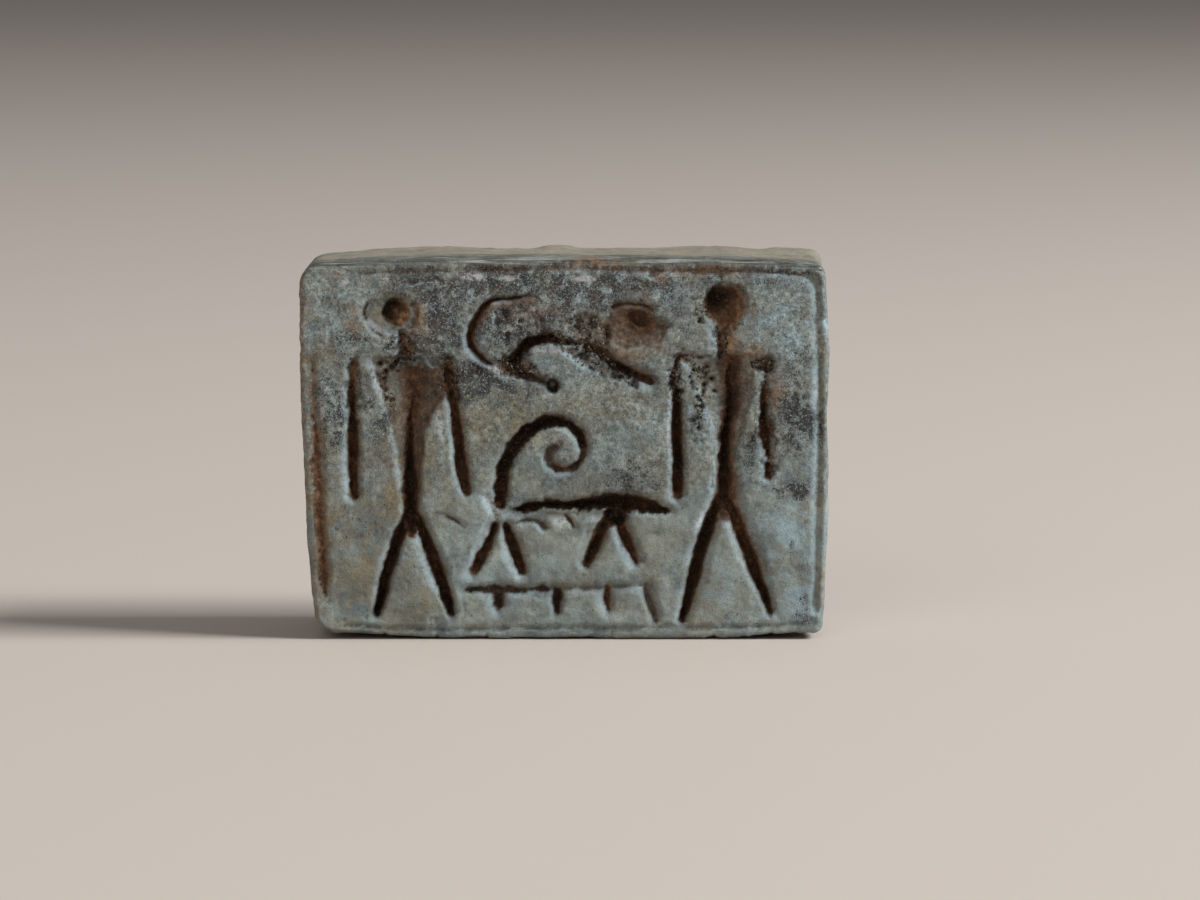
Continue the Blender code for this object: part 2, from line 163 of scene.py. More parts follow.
def build_block():
    """Points and faces of the plain bead, with its bore, before carving and wear."""
    points, quads, tris = [], [], []

    def add(x, y, z):
        start = sum(len(p) for p in points)
        x, y, z = np.broadcast_arrays(np.asarray(x, float), np.asarray(y, float), np.asarray(z, float))
        points.append(np.stack([x, y, z], 1))
        return np.arange(start, start + len(x))

    def grid_quads(ids, nx, nz, flip):
        g = ids.reshape(nz + 1, nx + 1)
        a, b, c, d = g[:-1, :-1], g[:-1, 1:], g[1:, 1:], g[1:, :-1]
        q = np.stack([a, d, c, b] if flip else [a, b, c, d], -1).reshape(-1, 4)
        quads.append(q)

    def band(front, back):
        quads.append(np.stack([front, back, np.roll(back, -1), np.roll(front, -1)], 1))

    v, u = np.meshgrid(np.linspace(0, 1, NZ + 1), np.linspace(0, 1, NX + 1), indexing="ij")
    x, z = plan(u.ravel(), v.ravel(), rounding(FRONT_ROUND, 0))
    face = add(x, FACE_Y, z)
    grid_quads(face, NX, NZ, False)
    last = face[border_index(NX, NZ)]

    bu, bv = border_uv(NX, NZ)
    for k in range(1, ROUND_RINGS + 1):
        a = math.radians(90 * k / ROUND_RINGS)
        x, z = plan(bu, bv, rounding(FRONT_ROUND, a))
        ring = add(x, FACE_Y + FRONT_ROUND_DEPTH * (1 - math.cos(a)), z)
        band(last, ring)
        last = ring

    hx, hz = NX // 2, NZ // 2
    bu, bv = border_uv(hx, hz)
    flat = rounding(FRONT_ROUND, math.pi / 2)
    x, z = plan(bu, bv, flat)
    y_first, y_last = FACE_Y + FRONT_ROUND_DEPTH + 0.09, -FACE_Y - BACK_ROUND_DEPTH
    side_rows = []
    ring = add(x, y_first, z)
    a0, a1, a2 = last[0::2], last[1::2], np.roll(last, -2)[0::2]
    b0, b1 = ring, np.roll(ring, -1)
    tris += [np.stack([a0, b0, a1], 1), np.stack([a1, b0, b1], 1), np.stack([a1, b1, a2], 1)]
    side_rows.append(ring)
    last = ring
    side_bands = []
    for k in range(1, SIDE_RINGS + 1):
        ring = add(x, y_first + (y_last - y_first) * k / SIDE_RINGS, z)
        side_bands.append((last, ring))
        side_rows.append(ring)
        last = ring

    for k in range(BACK_RINGS - 1, 0, -1):
        a = math.radians(90 * k / BACK_RINGS)
        x, z = plan(bu, bv, rounding(BACK_ROUND, a))
        ring = add(x, -FACE_Y - BACK_ROUND_DEPTH * (1 - math.cos(a)), z)
        band(last, ring)
        last = ring
    v, u = np.meshgrid(np.linspace(0, 1, hz + 1), np.linspace(0, 1, hx + 1), indexing="ij")
    x, z = plan(u.ravel(), v.ravel(), rounding(BACK_ROUND, 0))
    back = add(x, -FACE_Y, z)
    grid_quads(back, hx, hz, True)
    band(last, back[border_index(hx, hz)])

    # The bore: the cells inside each mouth come out, and a tube joins the two holes.
    xyz = np.concatenate(points)
    n = 2 * (hx + hz)
    right_k = lambda j: hx + j
    left_k = lambda j: (2 * hx + hz + (hz - j)) % n
    row_y = np.array([xyz[r[0], 1] for r in side_rows])
    col_z = np.array([xyz[side_rows[0][right_k(j)], 2] for j in range(hz + 1)])
    hole = set()
    for r in range(SIDE_RINGS):
        for j in range(hz):
            cy = (row_y[r] + row_y[r + 1]) / 2
            cz = (col_z[j] + col_z[j + 1]) / 2
            if math.hypot(cy, cz - BORE_Z) < BORE_MOUTH_RADIUS - 0.03:
                hole.add((r, j))
    gone = set()
    for r, j in hole:
        gone.add((r, right_k(j)))
        gone.add((r, left_k(j + 1)))
    for r, (a, b) in enumerate(side_bands):
        keep = np.array([k for k in range(n) if (r, k) not in gone])
        quads.append(np.stack([a[keep], b[keep], np.roll(b, -1)[keep], np.roll(a, -1)[keep]], 1))

    # Lattice edges between a removed cell and a kept one, turned so that the tube faces inwards.
    follow = {}
    for r, j in hole:
        corners = [(r, j), (r, j + 1), (r + 1, j + 1), (r + 1, j)]
        beyond = [(r - 1, j), (r, j + 1), (r + 1, j), (r, j - 1)]
        for c, cell in enumerate(beyond):
            if cell not in hole:
                follow[corners[c]] = corners[(c + 1) % 4]
    start = min(follow)
    loop = [start]
    while follow[loop[-1]] != start:
        loop.append(follow[loop[-1]])
    left = np.array([side_rows[r][left_k(j)] for r, j in loop])
    right = np.array([side_rows[r][right_k(j)] for r, j in loop])
    for ids in (left, right):
        dy, dz = xyz[ids, 1], xyz[ids, 2] - BORE_Z
        size = np.hypot(dy, dz)
        xyz[ids, 1] = dy / size * BORE_MOUTH_RADIUS
        xyz[ids, 2] = BORE_Z + dz / size * BORE_MOUTH_RADIUS
    count = 0
    for p in points:
        p[:] = xyz[count:count + len(p)]
        count += len(p)
    angle = np.unwrap(np.arctan2(xyz[left, 2] - BORE_Z, xyz[left, 1]))
    even = angle[0] + (angle[-1] - angle[0]) * np.arange(len(angle)) / (len(angle) - 1)
    last = left
    x_left, x_right = xyz[left, 0], xyz[right, 0]
    tube = []
    for k in range(1, BORE_RINGS):
        t = k / BORE_RINGS
        s = 0.5 - 0.5 * math.cos(math.pi * t)
        xs = x_left + (x_right - x_left) * s
        to_end = np.minimum(xs - x_left, x_right - xs)
        r = BORE_RADIUS + (BORE_MOUTH_RADIUS - BORE_RADIUS) * np.exp(-to_end / 0.22)
        a = angle + (even - angle) * min(1.0, 4 * min(t, 1 - t))
        ring = add(xs, r * np.cos(a), BORE_Z + r * np.sin(a))
        tube.append(ring)
        quads.append(np.stack([last, np.roll(last, -1), np.roll(ring, -1), ring], 1))
        last = ring
    quads.append(np.stack([last, np.roll(last, -1), np.roll(right, -1), right], 1))

    return np.concatenate(points), np.concatenate(quads), np.concatenate(tris), len(face), np.concatenate(tube)


def vertex_normals(p, quads, tris):
    n = np.zeros_like(p)
    fq = np.cross(p[quads[:, 2]] - p[quads[:, 0]], p[quads[:, 3]] - p[quads[:, 1]])
    for c in range(4):
        np.add.at(n, quads[:, c], fq)
    ft = np.cross(p[tris[:, 1]] - p[tris[:, 0]], p[tris[:, 2]] - p[tris[:, 0]])
    for c in range(3):
        np.add.at(n, tris[:, c], ft)
    return n / np.maximum(np.linalg.norm(n, axis=1, keepdims=True), 1e-12)


# --- the carving ---------------------------------------------------------------------------

def smooth_curve(points, steps):
    padded = [points[0]] + list(points) + [points[-1]]
    out = []
    for p0, p1, p2, p3 in zip(padded, padded[1:], padded[2:], padded[3:]):
        for k in range(steps):
            t = k / steps
            out.append(tuple(
                0.5 * (2 * b + (c - a) * t + (2 * a - 5 * b + 4 * c - d) * t * t + (3 * b - a - 3 * c + d) * t ** 3)
                for a, b, c, d in zip(p0, p1, p2, p3)
            ))
    out.append(tuple(points[-1]))
    return np.array(out)


def tail_spiral(points=40):
    path = []
    for k in range(points + 1):
        t = k / points
        a = math.radians(220.0 - 469.0 * t)
        r = 1.15 - 0.95 * t + 1.25 * math.exp(-t / 0.09)
        path.append((-0.10 + r * math.cos(a), 5.75 + r * math.sin(a), 0.20 - 0.125 * t + 0.02 * math.sin(9 * t)))
    return path


class Relief:
    """Depth below the face, and where dirt, worn lips and crumbly stone lie, at points of the face; the lips facing the
    light carry a painted highlight, and the brown beside the cuts carries painted shade on the side away from the
    light.
    """

    def __init__(self, x, z):
        self.flat = np.stack([x, np.zeros_like(x), z], 1)
        # Cut by hand and worn: every edge wanders a little.
        self.x = x + 0.034 * fbm(self.flat, 1.5, 201, 3) + 0.016 * fbm(self.flat, 6.0, 203, 2)
        self.z = z + 0.034 * fbm(self.flat, 1.5, 205, 3) + 0.016 * fbm(self.flat, 6.0, 207, 2)
        zero = np.zeros_like(x)
        self.depth, self.dirt, self.lip, self.red = zero.copy(), zero.copy(), zero.copy(), zero.copy()
        self.crumb, self.halo, self.tan, self.beige, self.ochre = (zero.copy() for _ in range(5))
        self.rim, self.rim_x, self.rim_z = zero + 9.0, zero.copy(), zero.copy()
        self.slow = fbm(self.flat, 0.9, 9, 2)
        self.wobble = fbm(self.flat, 3.2, 11, 3)
        self.jitter = fbm(self.flat, 9.0, 23, 2)

    def near(self, low, high, margin):
        return np.nonzero(
            (self.x > low[0] - margin) & (self.x < high[0] + margin)
            & (self.z > low[1] - margin) & (self.z < high[1] + margin)
        )[0]

    def cut(self, where, edge, toward, depth, wall, soft=1.0, bevel=0.14, bevel_depth=0.085, lip=1.0,
            red=0.0, dark=1.0, halo=0.5, even=0.0, lit=0.0, shoulder=0.14, shoulder_depth=0.06, flat=0.0, off=1.0):
        """edge is the distance outside the cut's rim; toward points away from the cut."""
        side = np.clip(toward[0] * 0.80 + toward[1] * 0.60, -1, 1)
        low, high = np.clip(-side, 0, 1), np.clip(side, 0, 1)
        wide = np.maximum(bevel * (0.30 + 1.10 * low) * (1 + (1 - even) * (0.55 * self.slow[where] + 0.35 * self.wobble[where])), 0.02)
        wide = wide + shoulder * high * (1 + 0.4 * self.slow[where])
        rim = np.clip(1 - np.maximum(edge, 0) / wide, 0, 1) ** (1.5 + 0.6 * high)
        wall = 1.25 * wall * (1 - 0.25 * low) * (1 + 1.5 * soft * high * off)
        inner = smooth(-edge / wall)
        rough_floor = 1 + np.minimum(0.12, 0.05 / np.maximum(depth, 0.02)) * self.jitter[where] * (1 - flat)
        d = (bevel_depth * (0.30 + 0.85 * low) + shoulder_depth * high) * rim + 0.82 * inner * depth * rough_floor
        self.depth[where] = smooth_max(self.depth[where], d, 0.04)
        patchy = np.clip(0.80 + (1 - even) * (0.9 * self.slow[where] + 0.50 * self.wobble[where]), 0.15, 1)
        # Pale rim on the side of the cut that faces the light: worn stone with a painted highlight.
        lit_rim = np.clip(edge / 0.035 + 1, 0, 1) * np.clip(1.15 - np.maximum(edge, 0) / wide, 0, 1) * low ** 0.8
        self.lip[where] = np.maximum(self.lip[where], lip * lit_rim * patchy)
        # The dark filling reaches further and fades softly on the side away from the light: dirt with painted shade.
        filled = dark * smooth((0.025 + 0.045 * high - edge) / (0.055 + 0.150 * high * off))
        fresh = filled > self.dirt[where]
        # Colour of the filling: its own reddish earth, plus painted light as brown on the wall facing the light and on
        # the lower-right, lit side of a drilled hole, and a painted brown gradient of shade on the far side.
        warm = red + lit * (toward[0] * 0.75 - toward[1] * 0.65) * np.clip(1 + edge / 0.4, 0, 1)
        warm = np.clip(warm + 0.55 * low * np.exp(-((edge + 0.06) / 0.07) ** 2) + 0.65 * high * smooth((edge + 0.15) / 0.15) + 0.35 * self.slow[where], 0, 1)
        self.red[where] = np.where(fresh, warm, self.red[where])
        self.tan[where] = np.where(fresh, self.tan[where] * (1 - filled), self.tan[where])
        dusty = min(1.0, 0.25 + 1.5 * red) * filled * high * off * smooth((edge + 0.22) / 0.16)
        self.tan[where] = np.maximum(self.tan[where], np.where(fresh, 0.55 * dusty, 0.0))
        self.dirt[where] = np.maximum(self.dirt[where], filled)
        # Brown stain beside the cut with painted shade, strongest on the side away from the light.
        shade = halo * np.exp(-np.maximum(edge, 0) / (0.08 + 0.14 * halo)) * (0.2 + 0.8 * high) * np.clip(0.75 + 0.8 * self.wobble[where], 0, 1)
        self.halo[where] = np.maximum(self.halo[where], shade)
        closer = np.abs(edge) < np.abs(self.rim[where])
        self.rim[where] = np.where(closer, edge, self.rim[where])
        self.rim_x[where] = np.where(closer, toward[0], self.rim_x[where])
        self.rim_z[where] = np.where(closer, toward[1], self.rim_z[where])

    def stroke(self, points, depth, steps=6, wall=0.10, rough=0.02, ends=1.4, crumb=0.0, grow=0.022, **kind):
        path = smooth_curve([(a, b, c + grow) for a, b, c in points], steps)
        where = self.near(path[:, :2].min(0), path[:, :2].max(0), path[:, 2].max() + 0.5)
        px, pz = self.x[where], self.z[where]
        best, half, run = np.full(len(where), 1e9), np.zeros(len(where)), np.zeros(len(where))
        tx, tz = np.zeros(len(where)), np.zeros(len(where))
        lengths = np.concatenate([[0], np.cumsum(np.hypot(*np.diff(path[:, :2], axis=0).T))])
        for i in range(len(path) - 1):
            a, b = path[i], path[i + 1]
            ab = b[:2] - a[:2]
            t = np.clip(((px - a[0]) * ab[0] + (pz - a[1]) * ab[1]) / max(ab @ ab, 1e-9), 0, 1)
            dx, dz = px - (a[0] + ab[0] * t), pz - (a[1] + ab[1] * t)
            d = np.hypot(dx, dz)
            w = a[2] + (b[2] - a[2]) * t
            closer = d - w < best
            best = np.where(closer, d - w, best)
            half = np.where(closer, w, half)
            run = np.where(closer, lengths[i] + (lengths[i + 1] - lengths[i]) * t, run)
            tx, tz = np.where(closer, dx, tx), np.where(closer, dz, tz)
        size = np.maximum(np.hypot(tx, tz), 1e-6)
        end = np.minimum(run, lengths[-1] - run) / (ends * np.maximum(half, 0.05))
        ease = 0.40 + 0.60 * np.sqrt(np.clip(1 - (1 - np.clip(end, 0, 1)) ** 2, 0, 1))
        edge = best + rough * self.wobble[where] + 0.5 * rough * self.jitter[where]
        deep = depth * ease * (1 + 0.15 * self.wobble[where])
        self.cut(where, edge, (tx / size, tz / size), deep, np.minimum(wall, half * 0.9), off=np.clip(size / np.maximum(0.7 * half, 0.02), 0, 1), **kind)
        if crumb:
            self.crumb[where] = np.maximum(self.crumb[where], crumb * smooth((0.28 - edge) / 0.30))

    def tail(self):
        """The coil: broad and black where it rises, thin, shallow and brown inside."""
        path = tail_spiral()
        for first, last, depth, red, dark in ((0, 17, 0.44, 0.1, 1.0), (15, 28, 0.30, 0.45, 0.85), (26, 34, 0.20, 0.7, 0.62), (32, 40, 0.24, 0.6, 0.70)):
            self.stroke(path[first:last + 1], depth, steps=1, bevel=0.13, red=red, wall=0.10, rough=0.05, dark=dark, ends=0.3, halo=0.6, lip=0.8)

    def bowl(self, cx, cz, rx, rz, depth, tilt=0.0, wall=0.3, rough=0.02, crumb=0.0, lean=0.0, **kind):
        tilt = math.radians(tilt)
        where = self.near((cx - rx, cz - rz), (cx + rx, cz + rz), 0.5)
        px, pz = self.x[where] - cx, self.z[where] - cz
        c, s = math.cos(tilt), math.sin(tilt)
        a, b = (px * c + pz * s) / rx, (-px * s + pz * c) / rz
        q = np.maximum(np.hypot(a, b), 1e-6)
        edge = (q - 1) * math.sqrt(rx * rz) + rough * self.wobble[where] + 0.5 * rough * self.jitter[where]
        size = np.maximum(np.hypot(px, pz), 1e-6)
        towards = np.clip((px * 0.75 - pz * 0.65) / math.sqrt(rx * rz), -1, 1)
        self.cut(where, edge, (px / size, pz / size), depth * (1 - lean * towards), wall * (1 + 0.9 * lean * towards), **kind)
        if crumb:
            self.crumb[where] = np.maximum(self.crumb[where], crumb * smooth((0.22 - edge) / 0.25))

    def trunk(self, rows, top, bottom, step, depth, left_dirt, right_dirt, red, lower=0.0):
        """A broad, slack V: rows give z, left edge, spine and right edge from the bottom up."""
        rows = np.array(rows)
        x, z = self.x + 0.03 * self.wobble + 0.015 * self.jitter, self.z
        left, spine, right = (np.interp(z, rows[:, 0], rows[:, k]) for k in (1, 2, 3))
        roof = top + 0.05 * self.wobble + 0.02 * self.jitter
        span = smooth((roof - z) / 0.10) * smooth((z - bottom) / 0.7)
        on_left = x < spine
        t = np.clip(np.where(on_left, (x - left) / np.maximum(spine - left, 0.05), (right - x) / np.maximum(right - spine, 0.05)), 0, 1)
        inset = np.where(on_left, x - left, right - x)
        d = span * (step * smooth(inset / np.where(on_left, 0.07, 0.20)) + (depth - step) * t ** 1.5)
        outside = np.clip(1 - (left - x) / (0.20 * (1 + 0.5 * self.slow)), 0, 1) * (x <= left)
        d = np.maximum(d, span * 0.055 * outside ** 1.5)
        self.depth = smooth_max(self.depth, d, 0.04)
        # Pale rim along the left edge, which faces the light: worn stone with a painted highlight.
        rim = span * np.where(x <= left, outside, np.clip(1 - (x - left) / 0.10, 0, 1) * on_left)
        self.lip = np.maximum(self.lip, rim * np.clip(0.75 + 0.8 * self.slow + 0.4 * self.wobble, 0.1, 1))
        near_spine = smooth((t - 0.45) / 0.5)
        filled = span * smooth((roof - lower - z + 0.1 * self.jitter) / 0.16) * smooth(inset / 0.12) * np.where(on_left, left_dirt + (0.9 - left_dirt) * near_spine, right_dirt + (0.9 - right_dirt) * near_spine)
        self.red = np.where(filled > self.dirt, red, self.red)
        self.tan = np.where(filled > self.dirt, self.tan * (1 - filled), self.tan)
        self.dirt = np.maximum(self.dirt, filled)

    def warm(self, cx, cz, rx, rz, amount, tilt=0.0):
        """Lighter, drier earth inside a cut; also painted light on the lit floor of a drilled hole."""
        self.tan = np.maximum(self.tan, self.patch(cx, cz, rx, rz, amount, tilt))

    def stain(self, cx, cz, rx, rz, amount, warm=0.5, tilt=0.0):
        """Earth rubbed thinly over the stone."""
        mask = self.patch(cx, cz, rx, rz, amount, tilt)
        over = smooth((mask - self.dirt) / 0.3) * smooth(mask / 0.25)
        self.red = self.red + (1 - self.red) * over
        self.tan = np.maximum(self.tan, warm * over)
        self.dirt = np.maximum(self.dirt, mask)

    def cream(self, cx, cz, rx, rz, amount, tilt=0.0):
        self.beige = np.maximum(self.beige, self.patch(cx, cz, rx, rz, amount, tilt))

    def line(self, points, half):
        """A soft mask along a polyline."""
        near = np.full(len(self.x), 9.0)
        for (ax, az), (bx, bz) in zip(points, points[1:]):
            dx, dz = bx - ax, bz - az
            t = np.clip(((self.x - ax) * dx + (self.z - az) * dz) / (dx * dx + dz * dz), 0, 1)
            near = np.minimum(near, np.hypot(self.x - ax - dx * t, self.z - az - dz * t))
        return np.exp(-(near / half) ** 2)

    def patch(self, cx, cz, rx, rz, amount, tilt=0.0):
        """A soft mask with a ragged outline."""
        c, s = math.cos(math.radians(tilt)), math.sin(math.radians(tilt))
        loose = 0.55 * min(rx, rz, 0.8)
        dx = self.x - cx + loose * self.slow
        dz = self.z - cz + loose * self.wobble * 0.7
        q = np.hypot((dx * c + dz * s) / rx, (-dx * s + dz * c) / rz)
        return amount * np.exp(-q ** 2.2 * 0.9)


def smooth_max(a, b, k):
    h = np.clip(0.5 + 0.5 * (a - b) / k, 0, 1)
    return b + (a - b) * h + k * h * (1 - h) * ((a > 1e-4) & (b > 1e-4))


def carve(x, z):
    # Pale worn rims set below carry a painted highlight where they face the light, and the brown stains beside the cuts
    # carry painted shade on the side away from it.
    r = Relief(x, z)

    # left man: drilled head in a wider countersink with a thin broken edge
    r.bowl(-5.24, 9.98, 0.84, 0.60, 0.13, wall=0.07, soft=3.5, bevel=0.06, red=0.7, dark=0.05, halo=0.25, crumb=0.4, even=0.3, rough=0.06)
    r.bowl(-5.09, 10.05, 0.45, 0.46, 0.32, wall=0.20, soft=0.2, bevel=0.05, lip=0.9, red=0.45, lit=1.1, dark=0.96, halo=0.4, lean=0.45)
    r.stroke([(-5.92, 10.34, 0.01), (-6.04, 10.09, 0.03), (-5.98, 9.76, 0.035), (-5.79, 9.48, 0.04), (-5.52, 9.33, 0.02)], 0.09, wall=0.04, bevel=0.05, lip=0.7, dark=0.9, red=0.5, rough=0.03, halo=0.3, grow=0.01)
    # Lighter brown on the lower right of the hole: painted light on its floor.
    r.warm(-4.94, 9.90, 0.26, 0.30, 1.0, tilt=45)
    ring = r.line([(-4.66, 10.22), (-4.60, 10.00), (-4.66, 9.76), (-4.84, 9.60), (-5.08, 9.55), (-5.30, 9.62)], 0.045)
    r.stain(-4.48, 9.92, 0.15, 0.46, 0.62, warm=0.7)
    r.stain(-4.66, 9.40, 0.24, 0.18, 0.55, warm=0.6)
    r.lip, r.beige = np.maximum(r.lip, 0.6 * ring), np.maximum(r.beige, ring)
    r.dirt = r.dirt * (1 - 0.8 * ring)
    r.cream(-5.66, 9.92, 0.34, 0.46, 1.0, tilt=20)
    # Pale rim at the lower left of the head and a pale ridge down the neck: worn stone with a painted highlight where
    # they face the light.
    r.lip = np.maximum(r.lip, 0.9 * r.line([(-5.90, 9.80), (-5.74, 9.58), (-5.52, 9.46)], 0.08))
    r.stroke([(-4.96, 9.46, 0.09), (-4.90, 9.22, 0.12), (-4.84, 8.98, 0.16), (-4.80, 8.80, 0.22)], 0.20, red=0.6, rough=0.10, crumb=0.75, dark=0.85, bevel=0.08, ends=0.4)
    ridge = r.line([(-5.60, 9.42), (-5.42, 9.50), (-5.16, 9.45), (-5.06, 9.23), (-5.12, 9.06), (-5.33, 8.92), (-5.46, 8.79)], 0.085)
    r.lip = np.maximum(r.lip, ridge * np.clip(0.9 + r.slow + r.jitter, 0, 1))
    r.crumb = np.maximum(r.crumb, 0.8 * r.line([(-5.16, 9.45), (-5.16, 9.1), (-5.5, 8.8)], 0.20))

    # its trunk: a broad, slack V with a cream left slope and a deep spine; arms and legs
    r.trunk(
        [(3.50, -4.90, -4.62, -4.28), (4.28, -4.95, -4.64, -4.33), (4.89, -5.00, -4.67, -4.30), (5.66, -5.13, -4.68, -4.20),
         (6.43, -5.28, -4.67, -4.14), (7.00, -5.43, -4.66, -3.84), (7.40, -5.55, -4.65, -3.54), (7.81, -5.66, -4.64, -3.46), (8.40, -5.84, -4.62, -3.54), (9.0, -5.90, -4.6, -3.54)],
        8.72, 3.3, 0.13, 0.44, 0.50, 0.74, 0.85, lower=0.24)
    r.stroke([(-4.70, 8.80, 0.02), (-4.40, 8.78, 0.03), (-4.14, 8.68, 0.03), (-3.98, 8.46, 0.03), (-3.74, 8.38, 0.02)], 0.05, wall=0.03, bevel=0.06, dark=0.3, red=0.8, lip=1.0, rough=0.04, halo=0.4)
    r.stain(-3.72, 7.35, 0.16, 0.50, 0.45, warm=0.7)
    r.stain(-5.18, 7.9, 0.30, 0.80, 0.52, warm=0.55, tilt=8)
    r.crumb = np.maximum(r.crumb, r.patch(-5.0, 8.62, 0.75, 0.24, 0.9))
    r.crumb = np.maximum(r.crumb, r.patch(-5.38, 7.6, 0.28, 1.0, 0.82, tilt=12))
    r.cream(-5.30, 7.6, 0.22, 0.95, 0.7, tilt=10)
    r.cream(-5.55, 8.55, 0.45, 0.22, 0.5)
    r.stroke([(-4.63, 7.35, 0.03), (-4.66, 6.8, 0.10), (-4.67, 6.0, 0.19), (-4.67, 4.8, 0.24), (-4.66, 3.9, 0.26), (-4.66, 3.45, 0.26)], 0.66, wall=0.20, soft=0.4, bevel=0.05, red=0.25, lip=0.2, halo=0.8, rough=0.06)
    r.stroke([(-6.36, 8.62, 0.05), (-6.42, 8.20, 0.13), (-6.45, 7.60, 0.17), (-6.44, 7.10, 0.16)], 0.30, bevel=0.15, red=0.9, dark=0.88, wall=0.12, rough=0.06, crumb=0.6, halo=0.7)
    r.stroke([(-6.42, 7.60, 0.08), (-6.41, 7.0, 0.14), (-6.39, 6.0, 0.17), (-6.38, 4.52, 0.17)], 0.48, bevel=0.17, red=0.45, wall=0.12, rough=0.035)
    r.warm(-6.38, 8.25, 0.16, 0.50, 0.9)
    r.warm(3.38, 8.2, 0.14, 0.35, 0.7)
    r.stroke([(-3.54, 8.60, 0.12), (-3.47, 8.20, 0.18), (-3.42, 7.60, 0.17)], 0.24, bevel=0.05, lip=0.2, red=0.9, dark=0.82, rough=0.06, crumb=0.75, halo=0.6)
    r.stroke([(-3.46, 7.70, 0.07), (-3.36, 7.15, 0.13), (-3.28, 6.70, 0.155), (-3.20, 5.97, 0.18), (-3.08, 5.20, 0.20), (-2.96, 4.62, 0.17)], 0.50, bevel=0.10, red=0.30, rough=0.03, lip=0.8)
    r.stroke([(-4.80, 3.70, 0.15), (-5.05, 3.08, 0.18), (-5.42, 1.9, 0.18), (-5.73, 0.78, 0.12)], 0.52, bevel=0.17, red=0.1)
    r.stroke([(-4.56, 3.90, 0.17), (-4.26, 3.25, 0.18), (-3.77, 1.95, 0.21), (-3.43, 0.86, 0.13)], 0.55, bevel=0.17, red=0.15, lip=0.75, rough=0.03)

    # right man: broad drilled head running into the neck, pitted ring beside it
    r.bowl(4.94, 10.29, 0.67, 0.65, 0.34, wall=0.26, soft=0.5, bevel=0.08, lip=0.4, red=0.80, lit=0.5, dark=0.88, halo=0.8, lean=0.45, rough=0.04)
    r.bowl(4.80, 10.42, 0.46, 0.38, 0.42, wall=0.34, bevel=0.03, lip=0.0, red=0.25, lit=0.9, dark=1.0, halo=0.0, lean=0.4)
    r.stroke([(4.98, 9.98, 0.44), (4.93, 9.66, 0.24), (4.90, 9.45, 0.14)], 0.26, wall=0.2, red=1.0, rough=0.05, dark=0.88, bevel=0.06, lip=0.4, halo=0.6, ends=0.3)
    # Lighter brown on the lower right of the head: painted light on its floor.
    r.warm(5.28, 10.05, 0.26, 0.40, 0.65)
    r.warm(5.02, 9.66, 0.24, 0.26, 0.85)
    r.stain(5.72, 10.15, 0.20, 0.25, 0.35, warm=0.9)
    r.crumb = np.maximum(r.crumb, r.patch(4.16, 10.12, 0.26, 0.44, 1.0))
    r.cream(4.18, 10.12, 0.30, 0.48, 0.95)
    r.stroke([(4.84, 9.52, 0.12), (4.78, 9.18, 0.11), (4.80, 8.74, 0.12)], 0.26, red=0.8, rough=0.08, crumb=0.8, dark=0.85, bevel=0.10)
    r.stain(5.02, 9.15, 0.20, 0.42, 0.80, warm=0.9)
    r.warm(4.88, 9.3, 0.12, 0.3, 0.6)
    r.stain(5.65, 8.78, 0.62, 0.20, 0.62, warm=0.8)
    # Pale ridge beside the neck: worn stone with a painted highlight.
    ridge = r.line([(4.36, 9.80), (4.50, 9.45), (4.54, 9.15), (4.50, 8.85)], 0.10)
    r.lip = np.maximum(r.lip, 0.9 * ridge * np.clip(0.9 + r.slow + r.jitter, 0, 1))

    # its trunk, arched shoulder, ragged outer arm and legs
    r.trunk(
        [(3.7, 4.46, 4.80, 5.20), (4.34, 4.52, 4.84, 5.24), (5.03, 4.58, 4.90, 5.28), (5.73, 4.66, 4.94, 5.36), (6.12, 4.62, 4.97, 5.46),
         (6.68, 4.53, 5.00, 5.60), (7.24, 4.30, 5.03, 5.76), (7.79, 4.02, 5.06, 5.90), (8.36, 3.78, 5.08, 5.94), (8.9, 3.7, 5.1, 5.95)],
        8.72, 3.7, 0.09, 0.34, 0.16, 0.42, 0.85, lower=0.05)
    r.stroke([(5.16, 8.56, 0.30), (5.18, 7.5, 0.33), (5.10, 6.9, 0.29), (5.01, 6.3, 0.26), (4.97, 5.4, 0.27), (4.99, 4.8, 0.31), (4.93, 4.25, 0.38), (4.90, 3.98, 0.34)], 0.52, wall=0.26, soft=1.0, bevel=0.05, red=0.75, lip=0.1, dark=0.85, halo=0.9, rough=0.05)
    r.stroke([(5.02, 8.40, 0.10), (5.06, 7.9, 0.14), (5.08, 7.4, 0.16), (5.02, 6.8, 0.18), (4.95, 6.2, 0.20), (4.92, 5.3, 0.22), (4.91, 4.7, 0.24), (4.90, 4.3, 0.24)], 0.66, wall=0.16, soft=1.2, bevel=0.03, red=0.15, lip=0.0, halo=0.0, rough=0.05)
    r.cream(4.38, 7.95, 0.32, 0.75, 0.8)
    r.crumb = np.maximum(r.crumb, r.patch(4.25, 8.15, 0.50, 0.60, 0.92))
    r.crumb = np.maximum(r.crumb, r.patch(4.24, 7.1, 0.28, 1.1, 0.90, tilt=-14))
    r.stroke([(4.48, 8.72, 0.02), (4.12, 8.68, 0.04), (3.75, 8.73, 0.06), (3.50, 8.64, 0.05), (3.36, 8.42, 0.04)], 0.16, wall=0.06, bevel=0.05, red=0.3, dark=0.9, rough=0.05, crumb=0.5, halo=0.3)
    r.bowl(3.76, 8.60, 0.17, 0.09, 0.12, wall=0.08, bevel=0.03, red=0.8, dark=0.9, lip=0.0)
    r.stroke([(3.38, 8.30, 0.08), (3.37, 7.90, 0.11), (3.42, 7.40, 0.12)], 0.16, bevel=0.10, red=0.9, dark=0.55, crumb=0.9, rough=0.06, halo=0.5)
